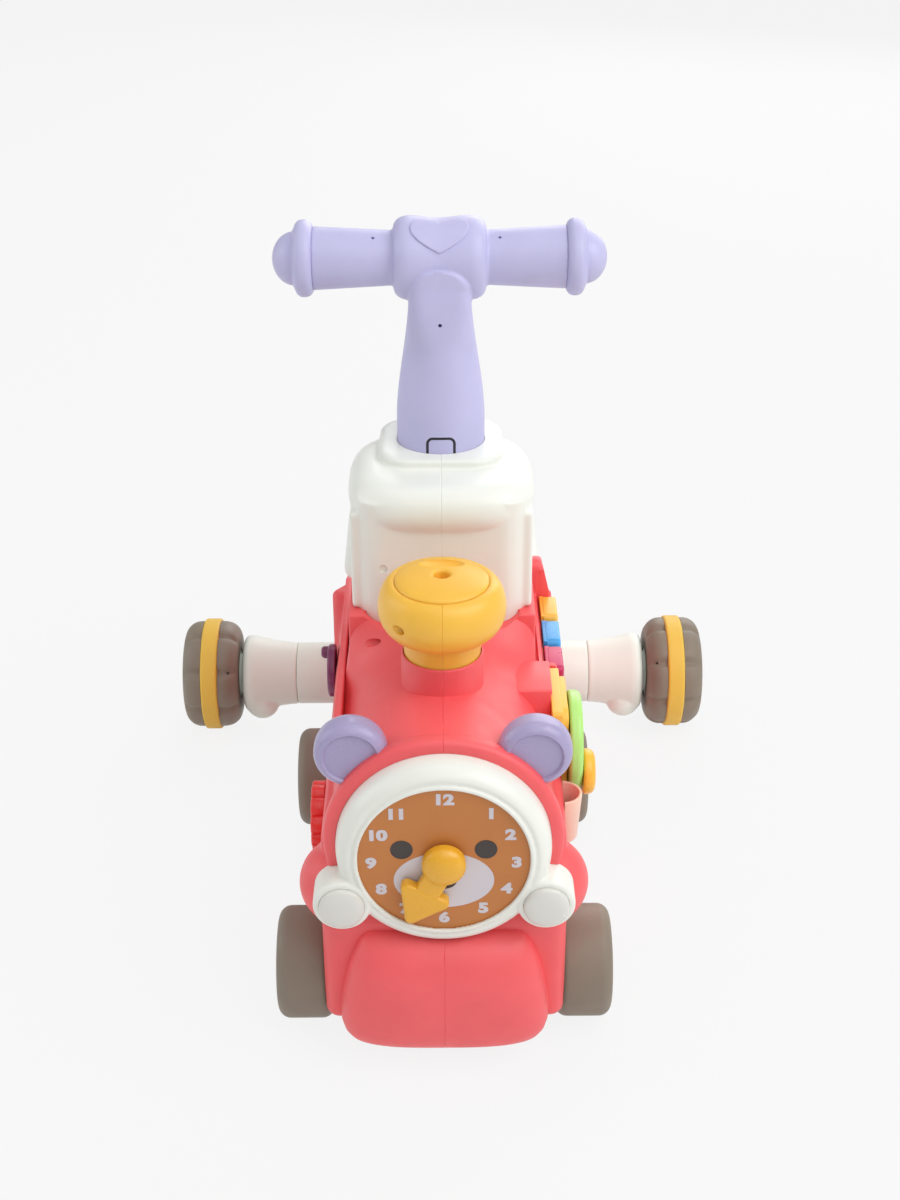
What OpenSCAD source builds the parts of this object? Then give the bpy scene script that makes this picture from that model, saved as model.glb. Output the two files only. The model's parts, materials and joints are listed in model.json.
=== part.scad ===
// Ride-on toy train with a lift-off push handle, a clock face, a press-down chimney and side toys.
// The front faces -Y, +X is on the viewer's right and the wheels stand on z = 0.
// Places along the train are written as a distance behind the front axle.

/* [Wheels] */
// Diameter of the front and middle wheels
small_wheel_d = 74; // [68:1:76]
// Width of the front and middle wheels
small_wheel_w = 37; // [30:1:38]
// Outer face of the front and middle wheels, from the centre plane
small_wheel_x = 110; // [107:1:114]
// Diameter of the rear wheels over the yellow band
rear_wheel_d = 92; // [86:1:96]
// Width of the rear wheels
rear_wheel_w = 45; // [42:1:48]
// Outer face of the rear wheels, from the centre plane
rear_wheel_x = 213; // [208:1:220]
// Width of the band on a rear wheel
band_w = 13.5; // [10:0.5:18]
// How far the band stands out of the tread
band_proud = 1.3; // [0.5:0.1:2]
// Number of lobes round a rear tyre
tyre_lobes = 8; // [6:1:12]
// Middle axle, behind the front axle
middle_axle = 215; // [208:1:220]
// Rear axle, behind the front axle
rear_axle = 353; // [345:1:360]
// Diameter of the two long axles
axle_d = 6; // [5:0.5:7]
// Diameter of the two rear axle pins
rear_axle_d = 8; // [7:0.5:10]

/* [Body] */
// Width over the body sides
body_w = 155; // [150:1:158]
// Width over the rear fenders
fender_w = 164; // [160:1:168]
// Thickness of the moulded walls
wall = 2.5; // [2.2:0.1:3]
// Height of the body floor
floor_z = 22; // [18:1:26]
// Height of the lowest edge in front of the front wheels
skirt_z = 24; // [23.5:0.5:27]
// Top edge of the body side at the front
side_top_front = 158; // [152:1:162]
// Back of the body, behind the front axle
body_back = 384; // [378:1:390]
// Height of the flat deck under the seat
deck_z = 186; // [182:1:188]

/* [Hood] */
// Diameter of the round hood
hood_d = 140; // [136:1:142]
// Height of the hood's axis
hood_z = 164; // [162:1:166]
// Diameter of the rim round the clock
rim_d = 150; // [148:1:152]
// Thickness of the rim
rim_t = 10; // [8:1:10]

/* [Nose] */
// Front of the nose, ahead of the front axle
nose_reach = 72; // [70.5:0.5:76]
// Width of the nose at its ledge
nose_top_w = 107; // [100:1:112]
// Width of the nose near the floor
nose_base_w = 128; // [120:1:134]
// Height of the nose above the ground
nose_low = 15; // [12:1:18]
// Height of the ledge on top of the nose
nose_top_z = 100; // [96:1:102]

/* [Clock] */
// Diameter of the visible dial
dial_d = 105; // [100:1:106]
// Diameter of the white bezel
bezel_d = 133; // [131:1:134]
// Face of the dial, ahead of the front axle
dial_reach = 57; // [56:0.5:58]
// How far the bezel's lip stands in front of the dial
lip_h = 2.5; // [2:0.5:4]
// Length of the clock hand from its centre to its tip
hand_l = 46; // [40:1:49]
// Angle of the hand from straight down, towards the viewer's left
hand_angle = 28; // [-180:1:180]
// Diameter of the hand's centre knob
knob_d = 27; // [22:1:30]
// Height of the hand's centre knob
knob_h = 12; // [9:1:13]

/* [Headlights and ears] */
// Distance of the headlights from the centre plane
lamp_x = 63; // [61:1:65]
// Height of the headlights
lamp_z = 130; // [128:1:132]
// Diameter of a headlight pod
lamp_d = 36; // [34:1:38]
// Diameter of a headlight lens
lens_d = 28.5; // [26:0.5:29]
// Diameter of the round cheek behind a headlight
cheek_d = 57; // [53:1:58]
// Diameter of an ear
ear_d = 45; // [42:1:47]
// Thickness of an ear
ear_t = 24; // [20:1:26]
// Distance of an ear from the centre plane
ear_x = 56; // [54:1:58]
// Height of an ear's centre
ear_z = 223; // [220:1:225]

/* [Chimney] */
// Chimney axis, behind the front axle
chimney_at = 44; // [40:1:48]
// Diameter of the rounded chimney top
chimney_d = 79; // [74:1:82]
// Diameter of the chimney's neck
neck_d = 47; // [44:1:48]
// Diameter of the boss on the hood
boss_d = 55; // [54:1:58]
// Height of the boss
boss_z = 246; // [243:1:248]
// Diameter of the cap let into the top
cap_d = 59; // [55:1:60]
// Height of the cap's rim
cap_z = 302; // [300:1:304]
// Diameter of the peg hole in the cap
peg_hole_d = 10; // [8:0.5:12]
// Depth of the peg hole
peg_hole_depth = 12; // [8:1:14]
// How far the chimney can be pressed down
chimney_travel = 4; // [3:0.5:5]

/* [Cab] */
// Front wall of the cab, behind the front axle
cab_front = 110; // [108:1:112]
// Length of the cab walls
cab_l = 96; // [94:1:97]
// Width of the console on each side of the cab
console_w = 20.5; // [20:0.5:22.5]
// Width of the roof
roof_w = 124; // [120:1:130]
// Length of the roof
roof_l = 110; // [106:1:114]
// Top of the roof
roof_z = 330; // [327:1:332]
// Thickness of the rounded roof
roof_t = 32; // [28:1:36]
// Width of the collar round the handle
collar_w = 83; // [80:1:86]
// Length of the collar
collar_l = 74; // [72:1:78]
// Top of the collar
collar_z = 337; // [335:1:340]

/* [Handle] */
// Hub centre, behind the front axle
hub_at = 202; // [200:1:204]
// Height of the hub centre
hub_z = 456; // [452:1:462]
// Lean of the handle to the back, in degrees
lean = 10; // [9:0.5:11]
// Diameter of the hub
hub_d = 55; // [52:1:58]
// Width of the hub
hub_w = 65; // [60:1:70]
// Width over the whole bar
bar_w = 219; // [205:1:230]
// Grip diameter beside the hub
grip_d_in = 34; // [32:0.5:36]
// Grip diameter beside the flange
grip_d_out = 41; // [38:0.5:43]
// Diameter of the flange at each end
flange_d = 50; // [47:1:54]
// Width of the column where it enters the cab
column_w = 59; // [57:1:60]
// Depth of the column where it enters the cab
column_d = 52; // [50:1:53]
// Width of the column under the hub
column_top_w = 41; // [38:1:44]
// Length of column inside the cab
stub_l = 38; // [34:1:42]
// Width of the release button
button_w = 16; // [14:0.5:18]
// Height of the release button
button_h = 13; // [11:0.5:14]
// Travel of the release button
button_travel = 2.5; // [2:0.5:3]

/* [Legs] */
// Diameter of the inner sleeve of a leg
sleeve_d = 51; // [48:1:53]
// Seam between sleeve and boot, from the centre plane
leg_seam_x = 120; // [116:1:126]
// Diameter of the boot at its outer end
boot_d = 66; // [62:1:70]
// Gap between the boot and the tyre
boot_gap = 3; // [2.5:0.5:5]

/* [Side toys] */
// Length of a piano key along the train
key_l = 31; // [28:1:32]
// Height of a piano key
key_h = 32; // [28:1:34]
// How far a key stands out of the side
key_proud = 4.5; // [4:0.5:6]
// Travel of a key
key_travel = 2.5; // [2:0.5:3]
// Distance between neighbouring keys
key_pitch = 35; // [34.5:0.5:36]
// Diameter of the green crank wheel
crank_d = 66; // [60:1:68]
// Diameter of the orange crank knob
crank_knob_d = 30; // [24:1:32]
// Diameter of the red gear
gear_d = 47; // [42:1:50]
// Diameter of the purple dial
spin_dial_d = 39; // [34:1:42]
// Radius of the side cup at its rim
cup_r = 13; // [11:0.5:14]

/* [Hidden] */
// Clearances: still joints, turning shafts, sliding pieces and free air round moving pieces
fit_gap = 0.15;
run_gap = 0.06;
slide_gap = 0.35;
free_gap = 0.6;

small_r = small_wheel_d / 2;
rear_r = rear_wheel_d / 2;
hand_gap = 1.5;
front_reach = max(nose_reach, dial_reach + hand_gap + knob_h);
length = front_reach + rear_axle + rear_r;
front_axle_y = front_reach - length / 2;
function at(d) = front_axle_y + d;

body_hw = body_w / 2;
fender_hw = fender_w / 2;
main_front = -24;
skirt_front = -45;
skirt_back = 46;
skirt_top = 108;
skirt_step = 0.6;
nose_back = skirt_front + 4;
deck_step = 0.3;
edge_cut = 9;
fender_front = 236;
fender_floor = 12;
small_inner_x = small_wheel_x - small_wheel_w;
well_r = small_r + 4;
well_x = small_inner_x - 3.5;
tunnel_r = axle_d / 2 + 4;
rear_inner_x = rear_wheel_x - rear_wheel_w;
boot_x = rear_inner_x - boot_gap;

hood_r = hood_d / 2;
hood_top = hood_z + hood_r;
rim_front = -46;
bezel_seat = 4;
bezel_back = rim_front + bezel_seat;
bezel_r = bezel_d / 2;
dial_y = -dial_reach;
lip_y = dial_y - lip_h;
dial_pocket_r = dial_d / 2 + 4;
dial_opening_r = dial_pocket_r - 1;
dial_t = 3;
hand_shaft_r = 4;

chimney_low = 217;
neck_r = neck_d / 2;
guide_r = neck_r + 4.5;
guide_low = chimney_low + 3.3;
shelf_z = 184;
shelf_t = 4;
cap_seat_z = cap_z - 4;
mushroom_low = boss_z + chimney_travel + 8;

cab_w = body_w - 2 * console_w;
cab_hw = cab_w / 2;
cab_floor = 172;
cab_back = cab_front + cab_l;
cab_round = 18;
roof_front = cab_front - 6;
console_x = cab_hw + 1;
console_hw = body_hw - 0.5;
console_front = 74;
console_back = cab_back + 4;
console_top = 242;
console_round = 12;
console_rim = 207.5;
tab_front = 196;
tab_round = 6;
// The tab leans in above the keys, and the left wall leans in above the toys
console_bend = 206;
console_lean = 13;
left_bend = 158;
left_lean = 7;
rail_x = 70.5;
rail_t = 5;
rail_top = 203;
rail_ends = [36, 240];
cowl_front = 106;
cowl_low = hood_top - 2;
cowl_top = 252;
cowl_rail = 5;
cowl_corner = 20;

column_b = column_d / 2;
column_a = column_w / 2;
column_l = (hub_z - collar_z) / cos(lean);
socket_l = column_l + stub_l + 4;

key_first = 117;
key_top = 203;
key_window = [key_l + 2 * slide_gap, key_h + 2 * slide_gap];
key_z = key_top - key_h / 2;
key_flange_t = 2;
key_flange_x = console_hw - wall - 0.3;
board_x = key_flange_x - key_flange_t - key_travel - 8.2;
board_t = 1.6;

crank_at = 60;
crank_z = 173;
plate_x = [body_hw - 7.3, body_hw + 4];
plate_y = [38, 97];
plate_z = [138, 207];
gear_at = 44;
gear_z = 124;
spin_at = 200;
spin_z = 142;
toy_axle_r = 3;
toy_axle_in = body_hw - 21.5;
gear_x = [body_hw + free_gap, body_hw + free_gap + 9];
spin_x = [body_hw + free_gap, body_hw + free_gap + 6];
crank_x = [plate_x[1] + free_gap, plate_x[1] + free_gap + 9];
cup_at = 19;
cup_z = [124, 152];

battery_y = [62, middle_axle - 57];
battery_hw = 35;
battery_top = 60;
battery_wall = 2;
speaker_at = middle_axle - 30;
speaker_r = 19;

screw_head_r = 3.6;
screw_r = 1.75;
screw_boss_r = 6;
screw_head_x = -14;
shell_screws_at = [[-27, 227], [-28, 101], [92, 188], [110, 85], [262, 75], [340, 140],
                   [100, 216]];
cab_screw_at = [150, 262];

$fn = 72;

// Points of an arc in the plane, from angle a0 to a1
function arc(c, r, a0, a1, n = 6) =
  [for (i = [0:n]) let (a = a0 + (a1 - a0) * i / n) [c[0] + r * cos(a), c[1] + r * sin(a)]];

// Points of an ellipse
function oval(a, b, n = 40) = [for (i = [0:n - 1])
  let (t = 360 * (i + 0.5) / n) [a * cos(t), b * sin(t)]];

// Smooth step from 0 to 1
function ease(t) = let (u = max(0, min(1, t))) u * u * (3 - 2 * u);

// Cylinder along X between two places
module along_x(x0, x1, r, y = 0, z = 0)
  translate([min(x0, x1), y, z]) rotate([0, 90, 0]) cylinder(r = r, h = abs(x1 - x0));

// Cylinder along Y between two places
module along_y(y0, y1, r, x = 0, z = 0)
  translate([x, y0, z]) rotate([-90, 0, 0]) cylinder(r = r, h = y1 - y0);

// Box from its low and high corners
module box(low, high) translate(low) cube(high - low);

// Round disc on z = 0 with rounded lower and upper edges
module puck(r, h, low_edge = 0, high_edge = 0)
  rotate_extrude() polygon(concat(
    [[0, 0]],
    low_edge > 0 ? arc([r - low_edge, low_edge], low_edge, -90, 0) : [[r, 0]],
    high_edge > 0 ? arc([r - high_edge, h - high_edge], high_edge, 0, 90) : [[r, h]],
    [[0, h]]));

// Turns a shape built along +Z so that it points to the front
module face_front(x, y, z) translate([x, y, z]) rotate([90, 0, 0]) children();

// Turns a shape built along +Z so that it points out of one side
module face_side(side, x, y, z) translate([side * x, y, z]) rotate([0, side * 90, 0]) children();

// Flat rectangle with round corners, centred
module round_rect(w, l, r) {
  square([w - 2 * r, l], center = true);
  square([w, l - 2 * r], center = true);
  for (sx = [-1, 1], sy = [-1, 1])
    translate([sx * (w / 2 - r), sy * (l / 2 - r)]) circle(r);
}

// Solid through a list of rings that all have the same number of points
module loft(rings) {
  n = len(rings[0]);
  m = len(rings);
  polyhedron(
    points = [for (ring = rings) each ring],
    faces = concat(
      [[for (i = [0:n - 1]) i]],
      [for (k = [0:m - 2], i = [0:n - 1]) [k * n + i, (k + 1) * n + i, (k + 1) * n + (i + 1) % n]],
      [for (k = [0:m - 2], i = [0:n - 1]) [k * n + i, (k + 1) * n + (i + 1) % n, k * n + (i + 1) % n]],
      [[for (i = [n - 1:-1:0]) (m - 1) * n + i]]));
}

// Ring of a superellipse, with no point on either axis
function pillow_ring(a, b, power, n) = [for (i = [0:n - 1])
  let (t = 360 * (i + 0.5) / n, c = cos(t), s = sin(t))
  [a * sign(c) * pow(abs(c), 2 / power), b * sign(s) * pow(abs(s), 2 / power)]];

// Half of space on one side of the centre plane
module half_space(side) translate([side > 0 ? 0 : -400, -400, -10]) cube([400, 800, 600]);

// Body shapes

// Top edge of the body side at a place along the train
function side_top(d) = d > console_back ? deck_z
  : side_top_front + (deck_z - side_top_front) * (d - main_front) / (console_back - main_front);

// Main body, drawn from the side, with its long top edges chamfered
module body_block(inset = 0) {
  tail = fender_front + 14;
  corner = 10;
  slope = atan2(deck_z - side_top_front, console_back - main_front);
  top_drop = inset + deck_step;
  difference() {
    translate([inset - body_hw, 0, 0]) rotate([90, 0, 90])
      linear_extrude(body_w - 2 * inset) polygon(concat(
        [[at(tail), floor_z + inset], [at(tail), deck_z - top_drop], [at(console_back), deck_z - top_drop]],
        arc([at(main_front + corner), side_top(main_front + corner) - top_drop - corner + inset],
            corner - inset, 90, 180),
        [[at(main_front) + inset, floor_z + inset]]));
    for (side = [-1, 1])
      translate([side * (body_hw - inset), at(main_front), side_top_front - top_drop])
        rotate([slope, 0, 0]) rotate([0, 45, 0])
          translate([-edge_cut / 2, -20, -edge_cut / 2])
            cube([edge_cut, console_back - main_front + 30, edge_cut]);
  }
}

// Rounded tail of the body with the rear fenders
module fender_block(inset = 0)
  translate([0, at((fender_front + body_back) / 2), fender_floor + inset])
    linear_extrude(deck_z - fender_floor - 2 * inset)
      round_rect(fender_w - 2 * inset, body_back - fender_front - 2 * inset, 26 - inset);

// Skirt in front of and between the front wheels
module skirt_block(inset = 0)
  translate([0, at((skirt_front + skirt_back) / 2), skirt_z + inset])
    linear_extrude(skirt_top - skirt_z - 2 * inset)
      round_rect(body_w + skirt_step - 2 * inset, skirt_back - skirt_front - 2 * inset, 10 - inset);

// Nose as level rings, fullest at about two fifths of its height
module nose_block(inset = 0) {
  root = 54;
  back_round = 1;
  back = nose_back + inset;
  low = nose_low + inset;
  high = nose_top_z - inset;
  loft([for (t = [0, 0.03, 0.08, 0.16, 0.28, 0.42, 0.58, 0.74, 0.87, 0.95, 1])
    let (edge = 0.88 + 0.12 * pow(1 - pow(abs(2 * t - 1), 10), 1 / 4))
    let (half_w = (nose_base_w + (nose_top_w - nose_base_w) * t) / 2 * edge - inset)
    let (reach = root - inset + (nose_reach - root) * pow(sin(180 * pow(t, 0.75)), 0.6))
    let (front_round = 0.8 * (reach + back))
    [for (p = concat(
        arc([half_w - front_round, at(-reach) + front_round], front_round, -90, 0),
        arc([half_w - back_round, at(back) - back_round], back_round, 0, 90, 2),
        arc([back_round - half_w, at(back) - back_round], back_round, 90, 180, 2),
        arc([front_round - half_w, at(-reach) + front_round], front_round, 180, 270)))
      [p[0], p[1], low + (high - low) * t]]]);
}

// Console over the keys with a tall tab behind the cab, as an outline along the train and its height
function console_outline(inset) = concat(
  [[at(console_front) + inset, 150]],
  arc([at(console_front + console_round), console_rim - console_round], console_round - inset, 180, 90),
  [[at(tab_front) + inset, console_rim - inset]],
  arc([at(tab_front + tab_round), console_top - tab_round], tab_round - inset, 180, 90),
  arc([at(console_back - tab_round), console_top - tab_round], tab_round - inset, 90, 0),
  [[at(console_back) - inset, 150]]);

module console(inset = 0)
  difference() {
    translate([console_x + inset, 0, 0]) rotate([90, 0, 90])
      linear_extrude(console_hw - console_x - 2 * inset) polygon(console_outline(inset));
    leaning(1, console_hw - inset, console_bend, console_lean);
  }

// Space outside a plane that leans in from a bend in a side wall
module leaning(side, x, z, angle)
  translate([side * x, 0, z]) rotate([0, -side * angle, 0])
    translate([side > 0 ? 0 : -60, -300, 0]) cube([60, 600, 150]);

// Rail along the top of the left wall
module left_rail()
  translate([-rail_x, 0, 0]) rotate([90, 0, 90]) linear_extrude(rail_t)
    polygon(concat(
      [[at(rail_ends[0]), 150]],
      arc([at(rail_ends[0] + 12), rail_top - 12], 12, 180, 90),
      arc([at(rail_ends[1] - 12), rail_top - 12], 12, 90, 0),
      [[at(rail_ends[1]), 150]]));

// Red frame round the foot of the cab's front wall
module cowl()
  translate([0, at(cab_front), 0]) rotate([90, 0, 0])
    linear_extrude(cab_front - cowl_front)
      difference() {
        translate([0, (150 + cowl_top) / 2]) round_rect(cab_w + 2 * cowl_rail, cowl_top - 150, 3);
        translate([0, cowl_low + 100]) round_rect(cab_w + 2 * fit_gap, 200, cowl_corner);
      }

module body_outer() {
  difference() {
    body_block();
    leaning(-1, body_hw, left_bend, left_lean);
  }
  fender_block();
  skirt_block();
  nose_block();
  along_y(at(rim_front + 3), at(cab_front), hood_r, 0, hood_z);
  translate([0, at(rim_front), hood_z]) rotate([-90, 0, 0]) puck(rim_d / 2, rim_t, 4, 4);
  for (side = [-1, 1])
    translate([side * (lamp_x + 0.5), at(-19), lamp_z - 11]) sphere(d = cheek_d);
  console();
  left_rail();
  translate([0, at(chimney_at), hood_z]) puck(boss_d / 2, boss_z - hood_z, 0, 3);
  cowl();
  box([45, at(54), 150], [plate_x[0], at(92), 215]);
}

// Hollow of the body, before its inner ribs are put back
module body_hollow() {
  body_block(wall);
  fender_block(wall);
  skirt_block(wall);
  nose_block(wall);
  along_y(at(bezel_back + wall), at(cab_front - wall - 1), hood_r - wall, 0, hood_z);
  console(wall);
}

// Inner walls, bosses and tunnels that stay solid inside the hollow
module body_ribs() {
  leaning(-1, body_hw - wall, left_bend, left_lean);
  for (axle = [0, middle_axle]) {
    along_x(-body_hw, body_hw, tunnel_r, at(axle), small_r);
    for (side = [-1, 1])
      along_x(side * (well_x - wall), side * 100, well_r + wall, at(axle), small_r);
  }
  for (s = shell_screws_at)
    along_x(-100, 100, screw_boss_r, at(s[0]), s[1]);
  for (side = [-1, 1])
    along_x(side * (toy_axle_in - 4), side * 100, 7,
            at(side > 0 ? crank_at : gear_at), side > 0 ? crank_z : gear_z);
  along_x(4 - toy_axle_in, -100, 7, at(spin_at), spin_z);
  box([plate_x[0] - wall, at(plate_y[0] - wall), plate_z[0] - wall],
      [100, at(plate_y[1] + wall), plate_z[1] + wall]);
  translate([0, at(chimney_at), guide_low]) cylinder(r = guide_r, h = 30);
  box([-80, at(chimney_at - 17), shelf_z], [80, at(chimney_at + 17), shelf_z + shelf_t]);
  box([-cab_hw - wall, at(cab_front - wall - 1), cab_floor - 4],
      [cab_hw + wall, at(console_back), cab_floor + 8]);
  box([-80, at(cab_back), cab_floor], [80, at(console_back + 3), deck_z + 8]);
}

module body_cuts() {
  for (axle = [0, middle_axle]) {
    along_x(-100, 100, axle_d / 2 + fit_gap / 3, at(axle), small_r);
    for (side = [-1, 1])
      along_x(side * well_x, side * 120, well_r, at(axle), small_r);
  }
  for (side = [-1, 1]) {
    along_x(side * 58, side * 120, sleeve_d / 2 + fit_gap, at(rear_axle), rear_r);
    along_y(at(-90), at(bezel_back), lamp_d / 2 + fit_gap, side * lamp_x, lamp_z);
    ear_peg(side, fit_gap);
  }
  along_y(at(-90), at(bezel_back), bezel_r + fit_gap, 0, hood_z);
  along_y(at(bezel_back - 1), at(bezel_back + wall + 1), dial_opening_r, 0, hood_z);
  translate([0, at(chimney_at), shelf_z + shelf_t]) cylinder(r = neck_r + slide_gap, h = 100);
  box([-cab_hw - fit_gap, at(cab_front) - fit_gap, cab_floor],
      [cab_hw + fit_gap, at(cab_back) + fit_gap, 400]);
  box([plate_x[0], at(plate_y[0]) - fit_gap, plate_z[0] - fit_gap],
      [100, at(plate_y[1]) + fit_gap, console_rim + 1]);
  for (i = [0:2])
    box([key_flange_x - 8, at(key_first + i * key_pitch) - key_window[0] / 2, key_z - key_window[1] / 2],
        [100, at(key_first + i * key_pitch) + key_window[0] / 2, key_z + key_window[1] / 2]);
  along_x(toy_axle_in, 100, toy_axle_r + fit_gap / 3, at(crank_at), crank_z);
  along_x(-toy_axle_in, -100, toy_axle_r + fit_gap / 3, at(gear_at), gear_z);
  along_x(-toy_axle_in, -100, toy_axle_r + fit_gap / 3, at(spin_at), spin_z);
  box([-battery_hw, at(battery_y[0]), floor_z - 5], [battery_hw, at(battery_y[1]), floor_z + wall + 1]);
  for (i = [0:6])
    translate([i == 0 ? 0 : 11 * cos(60 * i), at(speaker_at) + (i == 0 ? 0 : 11 * sin(60 * i)), floor_z - 5])
      cylinder(r = 2.2, h = 12);
  for (s = shell_screws_at)
    screw_hole(s);
}

// Counterbored hole for a screw that comes in from the left side
module screw_hole(s) {
  along_x(-120, screw_head_x, screw_head_r + 0.5, at(s[0]), s[1]);
  along_x(screw_head_x - 1, 18, screw_r + fit_gap / 3, at(s[0]), s[1]);
}

module body_half(side)
  color("#F06C6C")
    difference() {
      intersection() {
        body_outer();
        half_space(side);
      }
      difference() {
        body_hollow();
        body_ribs();
      }
      body_cuts();
    }

// Clock face

module clock_bezel()
  color("#F2F1EC")
    difference() {
      union() {
        translate([0, 0, hood_z]) rotate([-90, 0, 0]) rotate_extrude()
          polygon(concat(
            [[dial_d / 2, at(dial_y)], [dial_d / 2, at(lip_y) + 2]],
            arc([dial_d / 2 + 2, at(lip_y) + 2], 2, 180, 270),
            [for (a = [0:10:90]) [dial_d / 2 + 3.5 + (bezel_r - dial_d / 2 - 3.5) * sin(a),
                                  at(bezel_back) - 2 - (bezel_back - 2 - lip_y) * cos(a)]],
            [[bezel_r, at(bezel_back)], [dial_pocket_r, at(bezel_back)], [dial_pocket_r, at(dial_y)]]));
        intersection() {
          for (side = [-1, 1])
            face_front(side * lamp_x, at(bezel_back), lamp_z) puck(lamp_d / 2, bezel_back - lip_y, 0, 3);
          difference() {
            box([-200, at(lip_y), 0], [200, at(bezel_back), 400]);
            along_y(at(lip_y) - 1, at(bezel_back) + 1, dial_pocket_r + 1, 0, hood_z);
          }
        }
      }
      for (side = [-1, 1]) {
        along_y(at(lip_y) - 1, at(lip_y + 5), lens_d / 2 + fit_gap, side * lamp_x, lamp_z);
        along_y(at(lip_y + 8), at(bezel_back) + 1, 8, side * (lamp_x + 4), lamp_z - 3);
      }
    }

module clock_dial()
  color("#B97845")
    translate([0, at(dial_y) + fit_gap, hood_z]) rotate([-90, 0, 0])
      difference() {
        cylinder(r = dial_pocket_r - fit_gap, h = bezel_back - dial_y - 2 * fit_gap);
        translate([0, 0, dial_t]) cylinder(r = dial_pocket_r - 4, h = 20);
        translate([0, 0, -1]) cylinder(r = hand_shaft_r + run_gap, h = 20);
      }

module headlight_lens(side)
  color("#DDE0E2")
    face_front(side * lamp_x, at(lip_y + 5) - fit_gap, lamp_z)
      rotate_extrude() polygon(concat(
        [[0, 0], [lens_d / 2, 0], [lens_d / 2, 5]],
        [for (a = [15:15:90]) [lens_d / 2 * cos(a), 5 + 3.5 * sin(a)]]));

// Hand with its shaft, built pointing down and then turned
module clock_hand() {
  thick = 8;
  tip_round = 4;
  head_l = 24;
  head_w = 30;
  color("#E5A82B")
    translate([0, at(dial_y) - hand_gap, hood_z]) rotate([0, hand_angle, 0]) rotate([90, 0, 0]) {
      puck(knob_d / 2, knob_h, 1.5, 6);
      linear_extrude(thick) {
        hull() {
          translate([0, tip_round - hand_l]) circle(tip_round);
          for (side = [-1, 1])
            translate([side * (head_w / 2 - tip_round), head_l - hand_l - tip_round]) circle(tip_round);
        }
        translate([-7, 4 - hand_l + head_l / 2]) square([14, hand_l - head_l / 2 - 6]);
      }
      translate([0, 0, -hand_gap - dial_t - 5]) cylinder(r = hand_shaft_r, h = 10);
    }
}

module hand_clip()
  color("#9A9C9E")
    along_ring(dial_y + dial_t + 0.6, 2.5, 8, hand_shaft_r);

// Ring along Y on the hood's axis
module along_ring(d, h, r_out, r_in)
  difference() {
    along_y(at(d), at(d + h), r_out, 0, hood_z);
    along_y(at(d) - 1, at(d + h) + 1, r_in + fit_gap / 3, 0, hood_z);
  }

// Ears

ear_front = rim_front + rim_t + fit_gap;

module ear_peg(side, gap = 0) {
  angle = atan2(ear_z - hood_z, ear_x);
  translate([0, at(ear_front + ear_t / 2), hood_z])
    rotate([0, side > 0 ? 90 - angle : angle - 90, 0])
      translate([0, 0, hood_r - wall - 1]) cylinder(r = 4 + gap, h = 8);
}

module ear(side)
  color("#ABA3CC") {
    difference() {
      face_front(side * ear_x, at(ear_front + ear_t), ear_z)
        difference() {
          puck(ear_d / 2, ear_t, 10, 9);
          translate([0, 0, ear_t - 2]) puck(16, 5, 1.5, 0);
        }
      along_y(at(ear_front) - 5, at(ear_front + ear_t) + 5, hood_r + fit_gap, 0, hood_z);
    }
    intersection() {
      ear_peg(side);
      along_y(at(ear_front), at(ear_front + ear_t), hood_r + 3, 0, hood_z);
    }
  }

// Chimney

module chimney_half(side) {
  belly_z = (mushroom_low + cap_z) / 2 + 3;
  shoulder_r = cap_d / 2 + 1.5;
  belly_r = chimney_d / 2;
  color("#F3BE45")
    translate([0, at(chimney_at), 0]) rotate([0, 0, side > 0 ? -90 : 90])
      rotate_extrude(angle = 180) polygon(concat(
        [[neck_r - wall, chimney_low], [guide_r - 1, chimney_low], [guide_r - 1, guide_low - 0.3],
         [neck_r, guide_low - 0.3]],
        [for (a = [90:-10:0])
          [neck_r + (belly_r - neck_r) * cos(a), belly_z - (belly_z - mushroom_low) * sin(a)]],
        [for (a = [15:15:90])
          [shoulder_r + (belly_r - shoulder_r) * cos(a), belly_z + (cap_z - 1 - belly_z) * sin(a)]],
        [[cap_d / 2 + fit_gap, cap_z - 1], [cap_d / 2 + fit_gap, cap_seat_z], [cap_d / 2 - 4, cap_seat_z],
         [cap_d / 2 - 4, cap_seat_z - 3], [belly_r - wall - 3, belly_z + 3],
         [belly_r - wall - 1, belly_z - 3],
         [neck_r - wall, mushroom_low + wall]]));
}

module chimney_cap() {
  slot_w = 27;
  slot_l = 6;
  dome_h = 5;
  color("#F3BE45")
    translate([0, at(chimney_at), cap_seat_z + fit_gap])
      difference() {
        union() {
          rotate_extrude() polygon(concat(
            [[0, 0], [cap_d / 2, 0]],
            [for (a = [0:15:90]) [cap_d / 2 * cos(a), cap_z - cap_seat_z + dome_h * sin(a)]]));
          translate([0, 0, dome_h - peg_hole_depth - 2])
            cylinder(r = peg_hole_d / 2 + 2.5, h = peg_hole_depth);
        }
        translate([0, 0, cap_z - cap_seat_z + dome_h - peg_hole_depth])
          cylinder(r = peg_hole_d / 2, h = peg_hole_depth + 1);
        translate([0, 14, cap_z - cap_seat_z + dome_h - 4]) linear_extrude(5) round_rect(slot_w, slot_l, 2.9);
      }
}

module chimney_spring() {
  turns = 6;
  steps = 14;
  coil_r = 14;
  wire_r = 1;
  low = shelf_z + shelf_t + wire_r + 0.1;
  high = chimney_low - wire_r - 0.1;
  color("#B8BABD")
    translate([0, at(chimney_at), 0])
      loft([for (k = [0:turns * steps])
        let (a = 360 * k / steps, z = low + (high - low) * k / (turns * steps))
        [for (j = [0:5])
          let (r = coil_r + wire_r * cos(60 * j))
          [r * cos(a), r * sin(a), z - wire_r * sin(60 * j)]]]);
}

// Cab

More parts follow.
